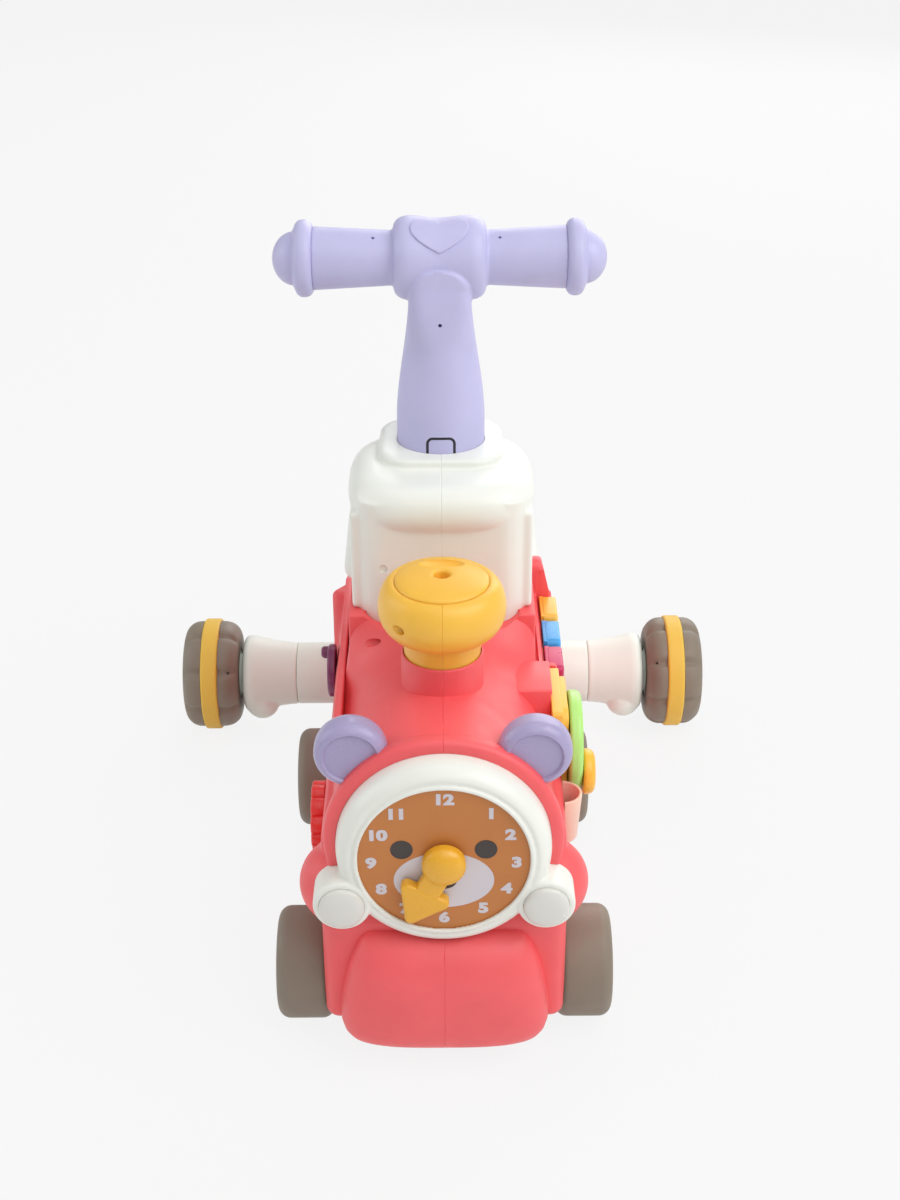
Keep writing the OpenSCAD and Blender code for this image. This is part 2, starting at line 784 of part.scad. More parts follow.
module cab_wall(inset = 0)
  translate([0, at(cab_front + cab_l / 2), cab_floor + (inset > 0 ? -1 : 0.05)])
    linear_extrude(roof_z - roof_t / 2 - cab_floor)
      round_rect(cab_w - 2 * inset, cab_l - 2 * inset, cab_round - inset);

// Pillow-shaped roof with a full round edge
module cab_roof(inset = 0) {
  edge = roof_t / 2;
  loft([for (a = [-90:18:90])
    let (out = (edge - inset) * cos(a) - edge)
    [for (p = pillow_ring(roof_w / 2 + out, roof_l / 2 + out, 3.2, 36))
      [p[0], at(roof_front + roof_l / 2) + p[1], roof_z - edge + (edge - inset) * sin(a)]]]);
}

// Leaning frame of the handle, with its origin at the hub's centre and z along the column
module in_handle() translate([0, at(hub_at), hub_z]) rotate([-lean, 0, 0]) children();

module socket(gap, low)
  in_handle() translate([0, 0, -low]) linear_extrude(low - column_l + 30)
    polygon(oval(column_a + gap, column_b + gap));

module cab_half(side)
  color("#F2F1EC")
    difference() {
      intersection() {
        union() {
          cab_wall();
          cab_roof();
          translate([0, at(hub_at) - (column_l + 4) * sin(lean), roof_z - 8])
            linear_extrude(collar_z - roof_z + 8) round_rect(collar_w, collar_l, 22);
        }
        half_space(side);
      }
      difference() {
        union() {
          cab_wall(wall);
          cab_roof(wall);
        }
        socket(slide_gap + wall, socket_l + wall);
        along_x(-100, 100, screw_boss_r, at(cab_screw_at[0]), cab_screw_at[1]);
      }
      socket(slide_gap, socket_l);
      screw_hole(cab_screw_at);
    }

// Seat

module seat_solid(inset) {
  sections = 14;
  half_points = 24;
  low = deck_z + (inset > 0 ? -1 : 0.05);
  start = console_back + fit_gap + inset;
  stop = body_back - 3 - inset;
  loft([for (k = [0:sections])
    let (t = k / sections, y = at(start + (stop - start) * t))
    let (end = pow(1 - pow(abs(2 * t - 1), 6), 1 / 4))
    let (w = 38 + (24 + 12 * ease((t - 0.2) / 0.15)) * end - inset)
    let (h = 6 + (23 - 5 * sin(180 * t) + 14 * ease((t - 0.55) / 0.45)) * end - (inset > 0 ? inset - 1 : 0))
    [for (i = [0:half_points])
      let (a = 180 * i / half_points - 90, s = sin(a), c = cos(a))
      [w * sign(s) * pow(abs(s), 0.7), y, low + h * pow(abs(c), 0.55)]]]);
}

module seat()
  color("#F2F1EC")
    difference() {
      seat_solid(0);
      seat_solid(wall);
    }

// Handle

bar_half = bar_w / 2 - 27;
bar_slope = (grip_d_out - grip_d_in) / 2 / (bar_half - hub_w / 2);

module bar_solid(inset) {
  hub_flat = hub_w / 2 - 9;
  blend = 10;
  xs = concat([0, hub_flat], [for (i = [1:8]) hub_flat + blend * i / 8], [bar_half]);
  radii = [for (x = xs)
    x <= hub_flat ? hub_d / 2 :
    let (grip = grip_d_in / 2 + bar_slope * (x - hub_flat - blend))
    grip + (hub_d / 2 - grip) * sqrt(max(0, 1 - pow((x - hub_flat) / blend, 2)))];
  n = len(xs);
  rotate([0, 90, 0]) rotate_extrude() polygon(concat(
    [[0, -bar_half], [0, bar_half]],
    [for (i = [n - 1:-1:0]) [radii[i] - inset, xs[i]]],
    [for (i = [1:n - 1]) [radii[i] - inset, -xs[i]]]));
}

module column_solid(inset) {
  taper_start = 20;
  taper_end = column_l - 14;
  places = concat([for (z = [8:-12:-taper_end]) z], [-taper_end - 2, -column_l - stub_l]);
  loft([for (i = [len(places) - 1:-1:0])
    let (z = places[i], t = ease((-z - taper_start) / (taper_end - taper_start)))
    let (a = column_top_w / 2 + (column_a - column_top_w / 2) * t, b = column_b - 2 + 2 * t)
    [for (p = oval(a - inset, b - inset)) [p[0], p[1], z]]]);
}

button_z = button_h / 2 - 3.5 - column_l - column_b * tan(lean);
slider_front = -19.5;
// The button slides on a post that stands on the rear half of the column
post_r = 4;

module button_shape(w, h, from, to)
  translate([0, to, button_z]) rotate([90, 0, 0]) linear_extrude(to - from) round_rect(w, h, 3);

// Raised heart on the front of the hub, turned up towards the rider
module hub_heart() {
  heart_turn = 51;
  heart_w = 39;
  heart_h = 31;
  heart_proud = 1.2;
  intersection() {
    rotate([90 - heart_turn, 0, 0])
      linear_extrude(60) polygon([for (t = [0:12:348]) [
        heart_w / 2 * pow(sin(t), 3),
        heart_h / 29 * (2.5 + 13 * cos(t) - 5 * cos(2 * t) - 2 * cos(3 * t) - cos(4 * t))]]);
    along_x(10 - hub_w / 2, hub_w / 2 - 10, hub_d / 2 + heart_proud);
  }
}

module handle_half(side)
  color("#BDBBE0")
    in_handle() {
      difference() {
        intersection() {
          union() {
            bar_solid(0);
            column_solid(0);
            hub_heart();
          }
          translate([-200, side < 0 ? -100 : 0.05, -300]) cube([400, 100, 400]);
        }
        bar_solid(wall);
        translate([0, 0, -0.01]) column_solid(wall);
        if (side < 0)
          button_shape(button_w + 3.2, button_h + 3.2, -40, -10);
      }
      if (side > 0)
        along_y(slider_front + button_travel + 0.5, column_b - 1, post_r, 0, button_z);
    }

module grip_end(side) {
  plug_l = 12;
  flange_t = 12;
  dome_l = 27 - flange_t - 0.2;
  plug_r = grip_d_out / 2 - bar_slope - wall - fit_gap;
  color("#BDBBE0")
    in_handle() face_side(side, bar_half + 0.2, 0, 0)
      rotate_extrude() polygon(concat(
        [[0, -plug_l], [plug_r - bar_slope * plug_l, -plug_l], [plug_r, 0]],
        arc([flange_d / 2 - 5, 5], 5, -90, 0),
        arc([flange_d / 2 - 5, flange_t - 5], 5, 0, 90),
        [for (a = [0:15:90]) [grip_d_in / 2 * cos(a), flange_t + dome_l * sin(a)]]));
}

module handle_button()
  color("#C6C4E6")
    in_handle()
      intersection() {
        button_shape(button_w, button_h, -40, slider_front - 0.02);
        column_solid(0.05);
      }

module button_slider()
  color("#202124")
    in_handle()
      difference() {
        union() {
          button_shape(button_w + 8, button_h + 6, slider_front, slider_front + 2);
          along_y(slider_front + 1, slider_front + 14, post_r + 2.5, 0, button_z);
        }
        along_y(slider_front - 1, slider_front + 15, post_r + run_gap, 0, button_z);
      }

// Legs

module leg_sleeve(side)
  color("#E6E2D8")
    difference() {
      along_x(side * 62, side * leg_seam_x, sleeve_d / 2, at(rear_axle), rear_r);
      along_x(side * 61, side * (leg_seam_x + 1), sleeve_d / 2 - wall, at(rear_axle), rear_r);
    }

module leg_boot(side) {
  spigot_l = 18;
  neck_t = 2;
  heel_x = boot_x - 14;
  seam = leg_seam_x + 0.2;
  color("#E6E2D8")
    translate([0, at(rear_axle), rear_r])
      difference() {
        union() {
          hull() {
            along_x(side * seam, side * (seam + neck_t), sleeve_d / 2 + 1);
            face_side(side, boot_x - 24, 0, 0) puck(boot_d / 2, 24, 8, 9);
          }
          hull() {
            translate([side * heel_x, -16, -20]) sphere(r = 13, $fn = 32);
            translate([side * (heel_x - 10), -6, -8]) sphere(r = 14, $fn = 32);
          }
          along_x(side * (seam - spigot_l), side * (seam + 1), sleeve_d / 2 - wall - fit_gap);
        }
        difference() {
          along_x(side * (seam - spigot_l - 1), side * (boot_x - 8), sleeve_d / 2 - 2 * wall - 1);
          along_x(side * (seam - spigot_l - 1), side * boot_x, rear_axle_d / 2 + 4);
        }
        along_x(side * (seam - spigot_l - 2), side * (boot_x + 2), rear_axle_d / 2 + fit_gap / 3);
      }
}

// Wheels and axles

module small_wheel(side, axle)
  color("#857869")
    face_side(side, small_inner_x, at(axle), small_r)
      difference() {
        puck(small_r, small_wheel_w, 8, 8);
        translate([0, 0, -1]) cylinder(r = axle_d / 2 + run_gap, h = small_wheel_w + 2);
        difference() {
          translate([0, 0, -1]) cylinder(r = small_r - 8, h = 20);
          translate([0, 0, -2]) cylinder(r = 9, h = 24);
        }
        translate([0, 0, small_wheel_w - 3]) puck(small_r - 12, 6, 2, 0);
        translate([0, 0, small_wheel_w - 8]) cylinder(r = 9, h = 10);
      }

module long_axle(axle)
  color("#B8BABD")
    along_x(3 - small_wheel_x, small_wheel_x - 3, axle_d / 2, at(axle), small_r);

// Push caps on the four ends of the long axles
module axle_caps()
  color("#857869")
    for (axle = [0, middle_axle], side = [-1, 1])
      face_side(side, small_wheel_x - 7.4, at(axle), small_r)
        difference() {
          puck(8, 7, 0, 3);
          translate([0, 0, -1]) cylinder(r = axle_d / 2 + fit_gap / 3, h = 5.5);
        }

hub_core_r = 20;
band_low = (rear_wheel_w - band_w) / 2;
tread_r = rear_r - band_proud;
// Turn of the left and right tyre from a groove at the top, to the front
tyre_turn = [13.4, 5.3];

module rear_tyre(side)
  color("#857869")
    face_side(side, rear_inner_x, at(rear_axle), rear_r)
      difference() {
        puck(tread_r, rear_wheel_w, 13, 13);
        translate([0, 0, -1]) cylinder(r = hub_core_r + fit_gap, h = rear_wheel_w + 2);
        difference() {
          translate([0, 0, band_low - fit_gap]) cylinder(r = rear_r + 5, h = band_w + 2 * fit_gap);
          cylinder(r = tread_r - 5, h = rear_wheel_w);
        }
        for (i = [0:tyre_lobes - 1])
          rotate([0, 0, (side < 0 ? -tyre_turn[0] : tyre_turn[1]) + 360 * i / tyre_lobes])
            translate([tread_r + 1.2, 0, -1]) cylinder(r = 2.6, h = rear_wheel_w + 2);
        translate([0, 0, rear_wheel_w - 4]) puck(tread_r - 15, 6, 2, 0);
      }

module rear_band(side)
  color("#E8BE4C")
    face_side(side, rear_inner_x + band_low, at(rear_axle), rear_r)
      difference() {
        puck(rear_r, band_w, 2, 2);
        translate([0, 0, -1]) cylinder(r = tread_r - 5 + fit_gap, h = band_w + 2);
      }

// Hub core with the cream disc that shows between boot and tyre
module rear_hub(side) {
  disc_x = boot_x + free_gap;
  disc_r = 16.5;
  flange_l = rear_inner_x - disc_x + 6;
  color("#E6E2D8")
    face_side(side, disc_x, at(rear_axle), rear_r)
      difference() {
        union() {
          puck(disc_r, flange_l, 1, 0);
          translate([0, 0, rear_inner_x - disc_x + 1]) cylinder(r = hub_core_r, h = rear_wheel_w - 6);
        }
        translate([0, 0, -1]) cylinder(r = rear_axle_d / 2 + run_gap, h = 80);
        translate([0, 0, rear_wheel_x - disc_x - 12]) cylinder(r = 11, h = 20);
      }
}

module rear_axle_pin(side)
  color("#B8BABD")
    along_x(side * (leg_seam_x - 16), side * (rear_wheel_x - 6), rear_axle_d / 2, at(rear_axle), rear_r);

module rear_axle_caps()
  color("#857869")
    for (side = [-1, 1])
      face_side(side, rear_wheel_x - 11.4, at(rear_axle), rear_r)
        difference() {
          puck(10, 8, 0, 4);
          translate([0, 0, -1]) cylinder(r = rear_axle_d / 2 + fit_gap / 3, h = 6.6);
        }

// Side toys

module key(i)
  color(["#C81E62", "#3FA9EE", "#F4C04A"][i]) {
    y = at(key_first + i * key_pitch);
    translate([key_flange_x - 0.5, y, key_z]) rotate([90, 0, 90])
      linear_extrude(body_hw + key_proud - key_flange_x + 0.5) round_rect(key_l, key_h, 4);
    translate([key_flange_x - key_flange_t, y, key_z]) rotate([90, 0, 90])
      linear_extrude(key_flange_t) square([key_l + 3, key_h + 3], center = true);
  }

// Rubber pad whose domes stop short of the pressed keys
module key_pad()
  color("#C9C9C4") {
    pad_back = board_x + board_t + 0.1;
    pad_t = 1.2;
    dome_top = key_flange_x - key_flange_t - key_travel - 0.3;
    box([pad_back, at(key_first - 14), key_z - 8],
        [pad_back + pad_t, at(key_first + 2 * key_pitch + 14), key_z + 8]);
    for (i = [0:2])
      along_x(pad_back, dome_top, 5, at(key_first + i * key_pitch), key_z);
  }

// Board whose front edge rests against a screw boss
module circuit_board()
  color("#2F7D4F")
    box([board_x, at(shell_screws_at[2][0] + screw_boss_r) + 0.1, key_z - 14],
        [board_x + board_t, at(key_first + 2 * key_pitch + 14), key_z + 14]);

module crank_plate()
  color("#F4C04A")
    difference() {
      union() {
        box([plate_x[0] + fit_gap, at(plate_y[0]), plate_z[0]], [body_hw, at(plate_y[1]), plate_z[1]]);
        translate([0, at((plate_y[0] + plate_y[1]) / 2), (plate_z[0] + plate_z[1]) / 2]) rotate([90, 0, 90])
          linear_extrude(plate_x[1])
            round_rect(plate_y[1] - plate_y[0] - 4, plate_z[1] - plate_z[0] - 4, 10);
      }
      box([0, -300, 0], [plate_x[0] + fit_gap, 300, 400]);
      along_x(plate_x[0] - 1, plate_x[1] + 1, toy_axle_r + fit_gap / 3, at(crank_at), crank_z);
    }

knob_place = [-18, -13];

module crank_wheel()
  color("#B5EC80")
    difference() {
      face_side(1, crank_x[0], at(crank_at), crank_z) puck(crank_d / 2, crank_x[1] - crank_x[0], 2, 6);
      along_x(crank_x[0] - 1, 120, toy_axle_r + run_gap, at(crank_at), crank_z);
      along_x(crank_x[1] - 3.5, 120, 7, at(crank_at), crank_z);
      along_x(crank_x[0] + 2, 120, 4 + fit_gap / 3, at(crank_at + knob_place[0]), crank_z + knob_place[1]);
    }

module crank_knob()
  color("#F6BB3C")
    face_side(1, crank_x[0] + 2.1, at(crank_at + knob_place[0]), crank_z + knob_place[1]) {
      cylinder(r = 4, h = 8);
      translate([0, 0, crank_x[1] - crank_x[0] - 2]) puck(crank_knob_d / 2, 8, 2, 5);
    }

module gear_red() {
  lobes = 10;
  lobe_r = gear_d / 2 * 0.26;
  color("#EE3A36")
    face_side(-1, gear_x[0], at(gear_at), gear_z)
      difference() {
        linear_extrude(gear_x[1] - gear_x[0]) {
          circle(gear_d / 2 - lobe_r);
          for (i = [0:lobes - 1])
            rotate(360 * i / lobes) translate([gear_d / 2 - lobe_r, 0]) circle(lobe_r);
        }
        translate([0, 0, -1]) cylinder(r = toy_axle_r + run_gap, h = 20);
        translate([0, 0, gear_x[1] - gear_x[0] - 3.5]) cylinder(r = 7, h = 10);
      }
}

module spin_dial()
  color("#7A2F5C")
    face_side(-1, spin_x[0], at(spin_at), spin_z)
      difference() {
        union() {
          puck(spin_dial_d / 2, spin_x[1] - spin_x[0], 1, 2.5);
          translate([12, 6, 3]) puck(4.5, 8, 0, 2.5);
        }
        translate([0, 0, -1]) cylinder(r = toy_axle_r + run_gap, h = 20);
        translate([0, 0, spin_x[1] - spin_x[0] - 3.5]) cylinder(r = 7, h = 10);
      }

// Shouldered pins on which the three side toys turn
module toy_axles()
  color("#B8BABD") {
    head_r = 6;
    head_t = 2.6;
    places = [[1, crank_at, crank_z, crank_x[1]],
              [-1, gear_at, gear_z, gear_x[1]],
              [-1, spin_at, spin_z, spin_x[1]]];
    for (p = places) {
      along_x(p[0] * (toy_axle_in + 1), p[0] * (p[3] - 3), toy_axle_r, at(p[1]), p[2]);
      face_side(p[0], p[3] - 3, at(p[1]), p[2]) puck(head_r, head_t, 0, 1.5);
    }
  }

module side_cup() {
  side_x = body_hw + 0.05;
  cup_h = cup_z[1] - cup_z[0];
  color("#F6CDB8")
    intersection() {
      translate([side_x - 1, at(cup_at), cup_z[0]])
        difference() {
          rotate_extrude() polygon(concat(
            [[0, 0]], arc([cup_r - 7, 5], 5, -90, -20), [[cup_r, cup_h], [0, cup_h]]));
          translate([0, 0, 3]) cylinder(r1 = cup_r - 5, r2 = cup_r - 2, h = cup_h);
        }
      box([side_x, -300, 0], [200, 300, 400]);
    }
}

// Inside pieces and fasteners

module battery_box()
  color("#3A3D42")
    difference() {
      box([-battery_hw - 4, at(battery_y[0] - 4), floor_z + wall + 0.2],
          [battery_hw + 4, at(battery_y[1] + 4), battery_top]);
      box([-battery_hw, at(battery_y[0]), floor_z],
          [battery_hw, at(battery_y[1]), battery_top - battery_wall]);
    }

module battery_cover()
  color("#F06C6C")
    box([-battery_hw + 0.3, at(battery_y[0]) + 0.3, floor_z],
        [battery_hw - 0.3, at(battery_y[1]) - 0.3, floor_z + wall]);

module speaker()
  color("#2B2C2E")
    translate([0, at(speaker_at), floor_z + wall + 0.2]) {
      puck(speaker_r, 7, 0, 1);
      cylinder(r = 11, h = 16);
    }

module screw(s)
  along_screw(s) {
    puck(screw_head_r, 2.5, 0, 1);
    translate([0, 0, -28]) cylinder(r = screw_r, h = 29);
  }

// Screw frame: origin under the head, z out of the left side
module along_screw(s)
  translate([screw_head_x, at(s[0]), s[1]]) rotate([0, -90, 0]) children();

module shell_screws()
  color("#8E9094")
    for (s = concat(shell_screws_at, [cab_screw_at]))
      screw(s);

body_half(-1);  // body_left
body_half(1);  // body_right
clock_bezel();
clock_dial();
headlight_lens(-1);  // headlight_lens_left
headlight_lens(1);  // headlight_lens_right
ear(-1);  // ear_left
ear(1);  // ear_right
cab_half(-1);  // cab_left
cab_half(1);  // cab_right
seat();
crank_plate();
side_cup();
leg_sleeve(-1);  // leg_sleeve_left
leg_sleeve(1);  // leg_sleeve_right
leg_boot(-1);  // leg_boot_left
leg_boot(1);  // leg_boot_right
long_axle(0);  // front_axle
long_axle(middle_axle);
rear_axle_pin(-1);  // rear_axle_left
rear_axle_pin(1);  // rear_axle_right
axle_caps();
rear_axle_caps();
toy_axles();
battery_box();
battery_cover();
circuit_board();
key_pad();
speaker();
shell_screws();
clock_hand();
hand_clip();
chimney_half(-1);  // chimney_left
chimney_half(1);  // chimney_right
chimney_cap();
chimney_spring();
handle_half(-1);  // handle_front
handle_half(1);  // handle_rear
grip_end(-1);  // grip_end_left
grip_end(1);  // grip_end_right
handle_button();
button_slider();
small_wheel(-1, 0);  // front_wheel_left
small_wheel(1, 0);  // front_wheel_right
small_wheel(-1, middle_axle);  // middle_wheel_left
small_wheel(1, middle_axle);  // middle_wheel_right
rear_tyre(-1);  // rear_tyre_left
rear_tyre(1);  // rear_tyre_right
rear_band(-1);  // rear_band_left
rear_band(1);  // rear_band_right
rear_hub(-1);  // rear_hub_left
rear_hub(1);  // rear_hub_right
key(0);  // key_magenta
key(1);  // key_blue
key(2);  // key_yellow
gear_red();
spin_dial();
crank_wheel();
crank_knob();
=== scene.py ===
# %% [markdown]
# # A ride-on train, dressed around its CAD frame
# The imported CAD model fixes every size, place and joint. This lesson dresses it: smooth moulded
# shells, a printed clock face and plastic finishes. All shapes are drawn in millimetres and are
# scaled to metres once, when a piece is finished, so that the numbers read like a maker's drawing.

# %% Load the fixed frame
import json
import math

import bmesh
import bpy
from mathutils import Matrix, Vector


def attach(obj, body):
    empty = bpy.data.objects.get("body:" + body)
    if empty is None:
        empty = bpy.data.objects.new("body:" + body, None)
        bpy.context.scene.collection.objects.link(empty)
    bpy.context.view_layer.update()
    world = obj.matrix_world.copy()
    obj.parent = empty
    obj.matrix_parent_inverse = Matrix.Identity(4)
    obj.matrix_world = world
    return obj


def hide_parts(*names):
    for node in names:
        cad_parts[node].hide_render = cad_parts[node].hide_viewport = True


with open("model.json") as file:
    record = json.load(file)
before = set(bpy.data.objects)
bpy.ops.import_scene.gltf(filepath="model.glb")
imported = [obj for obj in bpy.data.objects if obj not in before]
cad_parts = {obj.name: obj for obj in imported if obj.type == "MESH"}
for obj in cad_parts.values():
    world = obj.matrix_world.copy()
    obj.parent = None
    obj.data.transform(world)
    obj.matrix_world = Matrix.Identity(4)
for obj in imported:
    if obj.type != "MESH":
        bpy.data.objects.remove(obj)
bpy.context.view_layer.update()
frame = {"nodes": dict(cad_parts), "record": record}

nodes = frame["nodes"]
slot_of = {part["node"]: part["material_slot"] for part in frame["record"]["subparts"]}
MM = 0.001
FRONT_AXLE = -163.5
SIDES = (("left", -1), ("right", 1))


def at(distance):
    """Place along Y, in millimetres, of a distance behind the front axle."""
    return FRONT_AXLE + distance


# %% [markdown]
# ## Camera
# The photograph looks down on the front of the train. Its lens and place were worked out from the
# ellipses of the wheels and of the dial: 54 mm on a 36 mm sensor, 29.3 degrees down, square to the
# front and rolled by less than half a degree. A small shift moves the train to its place in the frame.

# %% Camera
CAMERA_DISTANCE = 932
CAMERA_HEIGHT = 836
CAMERA_PITCH = 29.3
CAMERA_ROLL = -0.4
FOCAL_LENGTH = 54
SENSOR_WIDTH = 36
IMAGE_HEIGHT = 1200
CENTRE_OFFSET = 8

camera_data = bpy.data.cameras.new("photo_camera")
camera_data.lens = FOCAL_LENGTH
camera_data.sensor_width = SENSOR_WIDTH
camera_data.shift_x = CENTRE_OFFSET / IMAGE_HEIGHT
camera = bpy.data.objects.new("photo_camera", camera_data)
camera.location = Vector((0, at(-CAMERA_DISTANCE), CAMERA_HEIGHT)) * MM
pitch = Matrix.Rotation(math.radians(90 - CAMERA_PITCH), 4, "X")
roll = Matrix.Rotation(math.radians(CAMERA_ROLL), 4, "Z")
camera.rotation_euler = (pitch @ roll).to_euler()
bpy.context.scene.collection.objects.link(camera)
bpy.context.scene.camera = camera
print("camera at", [round(v, 3) for v in camera.location])

# %% [markdown]
# ## Finishes
# Nearly every piece is injection-moulded ABS. A mould leaves three things that the eye reads as
# plastic: a very fine spark-eroded grain, a gloss that wanders a little over a hand's width, and
# a colour that is not quite even. Each finish below mixes those from noise, with the size of each
# pattern given in millimetres on Object coordinates.

# %% Adding nodes, and colours in linear light
def new_material(name):
    """An empty node material and its tree."""
    material = bpy.data.materials.new(name)
    material.use_nodes = True
    material.node_tree.nodes.clear()
    return material, material.node_tree


def add_node(tree, kind, settings=None, links=None):
    """Adds a node, sets its properties or sockets, and links its inputs from other sockets."""
    node = tree.nodes.new(kind)
    for key, value in (settings or {}).items():
        if key in node.inputs:
            node.inputs[key].default_value = value
        else:
            setattr(node, key, value)
    for key, socket in (links or {}).items():
        tree.links.new(socket, node.inputs[key])
    return node


def linear(hex_colour, gain=1.0):
    """Turns an sRGB hex colour to the linear values that shaders use."""
    values = [int(hex_colour[i:i + 2], 16) / 255 for i in (1, 3, 5)]
    curve = [v / 12.92 if v <= 0.04045 else ((v + 0.055) / 1.055) ** 2.4 for v in values]
    return (*[min(1.0, v * gain) for v in curve], 1.0)


def per_size(size_mm):
    """Noise scale that makes features of this size, for coordinates in metres."""
    return 1 / (size_mm * MM)


print("white in linear light:", linear("#FFFFFF"))

# %% Moulded plastic
PATCH_MM = 34
GLOSS_MM = 13
# The real grain is about a tenth of a millimetre; it is drawn coarser so that it shows
GRAIN_MM = 0.9
GRAIN_DEPTH = 0.0004
# Noise stays mostly between these two values
NOISE_LOW = 0.3
NOISE_HIGH = 0.7


def moulded(name, hex_colour, gloss=(0.3, 0.42), ior=1.53, grain=0.05, uneven=0.035):
    """Moulded plastic: uneven colour, wandering gloss and a fine mould grain."""
    material, tree = new_material(name)
    place = add_node(tree, "ShaderNodeTexCoord").outputs["Object"]
    patches = add_node(tree, "ShaderNodeTexNoise",
                       {"Scale": per_size(PATCH_MM), "Detail": 4.0}, {"Vector": place})
    colour = add_node(tree, "ShaderNodeValToRGB", {}, {"Fac": patches.outputs["Fac"]})
    ramp_ends = ((NOISE_LOW, 1 - uneven), (NOISE_HIGH, 1 + uneven))
    for element, (position, gain) in zip(colour.color_ramp.elements, ramp_ends):
        element.position = position
        element.color = linear(hex_colour, gain)
    touch = add_node(tree, "ShaderNodeTexNoise",
                     {"Scale": per_size(GLOSS_MM), "Detail": 5.0}, {"Vector": place})
    rough = add_node(tree, "ShaderNodeMapRange",
                     {"From Min": NOISE_LOW, "From Max": NOISE_HIGH,
                      "To Min": gloss[0], "To Max": gloss[1]}, {"Value": touch.outputs["Fac"]})
    pits = add_node(tree, "ShaderNodeTexNoise",
                    {"Scale": per_size(GRAIN_MM), "Detail": 2.0}, {"Vector": place})
    bump = add_node(tree, "ShaderNodeBump", {"Strength": grain, "Distance": GRAIN_DEPTH},
                    {"Height": pits.outputs["Fac"]})
    shader = add_node(tree, "ShaderNodeBsdfPrincipled", {"IOR": ior},
                      {"Base Color": colour.outputs["Color"], "Roughness": rough.outputs["Result"],
                       "Normal": bump.outputs["Normal"]})
    add_node(tree, "ShaderNodeOutputMaterial", {}, {"Surface": shader.outputs["BSDF"]})
    return material


print("colour patches:", PATCH_MM, "mm, gloss patches:", GLOSS_MM, "mm, grain:", GRAIN_MM, "mm")

# %% Drawn steel
# Real draw marks are finer; they are drawn coarser so that they show
STREAK_MM = 0.5
STREAK_STRETCH = 0.03


def drawn_steel(name, hex_colour, gloss=(0.22, 0.42)):
    """Drawn steel rod or wire: metal with fine streaks along its length."""
    material, tree = new_material(name)
    place = add_node(tree, "ShaderNodeTexCoord").outputs["Object"]
    stretch = add_node(tree, "ShaderNodeMapping", {"Scale": (STREAK_STRETCH, 1.0, 1.0)}, {"Vector": place})
    streaks = add_node(tree, "ShaderNodeTexNoise", {"Scale": per_size(STREAK_MM), "Detail": 3.0},
                       {"Vector": stretch.outputs["Vector"]})
    rough = add_node(tree, "ShaderNodeMapRange", {"To Min": gloss[0], "To Max": gloss[1]},
                     {"Value": streaks.outputs["Fac"]})
    colour = add_node(tree, "ShaderNodeValToRGB", {}, {"Fac": streaks.outputs["Fac"]})
    for element, gain in zip(colour.color_ramp.elements, (0.85, 1.08)):
        element.color = linear(hex_colour, gain)
    shader = add_node(tree, "ShaderNodeBsdfPrincipled", {"Metallic": 1.0},
                      {"Base Color": colour.outputs["Color"], "Roughness": rough.outputs["Result"]})
    add_node(tree, "ShaderNodeOutputMaterial", {}, {"Surface": shader.outputs["BSDF"]})
    return material


print("steel streaks:", STREAK_MM, "mm wide")

# %% The finishes of this train
FINISHES = {
    # Large ABS shells have a satin sheen, and the white ones are the smoother of the two
    "coral_shell": moulded("abs_coral", "#F35F63", (0.4, 0.52)),
    "white_shell": moulded("abs_warm_white", "#EBEDE5", (0.3, 0.4), uneven=0.015),
    # Polypropylene looks a little waxier than ABS
    "cream_shell": moulded("polypropylene_cream", "#EEF5EB", (0.36, 0.48), ior=1.49, uneven=0.02),
    # Printed card is flat, with almost no grain
    "dial_brown": moulded("printed_card_brown", "#C27A3C", (0.42, 0.5), ior=1.5, grain=0.02),
    # A polished mould gives lenses and ears sharper highlights
    "lens_grey": moulded("abs_lens_white", "#DDDCD6", (0.2, 0.28), grain=0.01, uneven=0.01),
    "ear_lavender": moulded("abs_ear_lavender", "#A9A0C6", (0.24, 0.34), grain=0.03),
    # The handle's mould is coarser, for a sure grip
    "handle_lavender": moulded("abs_handle_lavender", "#BDBBE0", (0.38, 0.5), grain=0.08),
    # The chimney is satin, and the clock hand is polished
    "chimney_yellow": moulded("abs_chimney_yellow", "#F5BE44", (0.34, 0.44)),
    "hand_yellow": moulded("abs_hand_yellow", "#E9AD2E", (0.24, 0.34), grain=0.03),
    # Soft PVC and rubber are dull and grainy, so their highlights spread
    "wheel_taupe": moulded("pvc_taupe", "#877B6C", (0.46, 0.6), ior=1.52, grain=0.12),
    "band_yellow": moulded("tpr_yellow", "#EBC04C", (0.5, 0.62), ior=1.5, grain=0.15),
    # Small toys come from polished moulds, so they shine
    "toy_yellow": moulded("abs_toy_yellow", "#F6C24A", (0.28, 0.38)),
    "toy_magenta": moulded("abs_toy_magenta", "#C81E62", (0.24, 0.34)),
    "toy_blue": moulded("abs_toy_blue", "#3FA9EE", (0.24, 0.34)),
    "toy_green": moulded("abs_toy_green", "#B5EC80", (0.26, 0.36)),
    "toy_orange": moulded("abs_toy_orange", "#F6B93A", (0.26, 0.36)),
    "toy_red": moulded("abs_toy_red", "#EE3A36", (0.26, 0.36)),
    "toy_purple": moulded("abs_toy_purple", "#7A2F5C", (0.26, 0.36)),
    "toy_peach": moulded("abs_toy_peach", "#F6CDB8", (0.3, 0.4)),
    # Hidden parts, and the black liner that paints the shade in the button's gap: matt black ABS, drawn
    # steel, laminate and soft silicone
    "black_plastic": moulded("abs_black", "#202124", (0.4, 0.5)),
    "steel": drawn_steel("steel_drawn", "#B8BABD"),
    "board_green": moulded("laminate_green", "#2F7D4F", (0.4, 0.5)),
    "pad_rubber": moulded("silicone_grey", "#C9C9C4", (0.5, 0.6), ior=1.41),
}
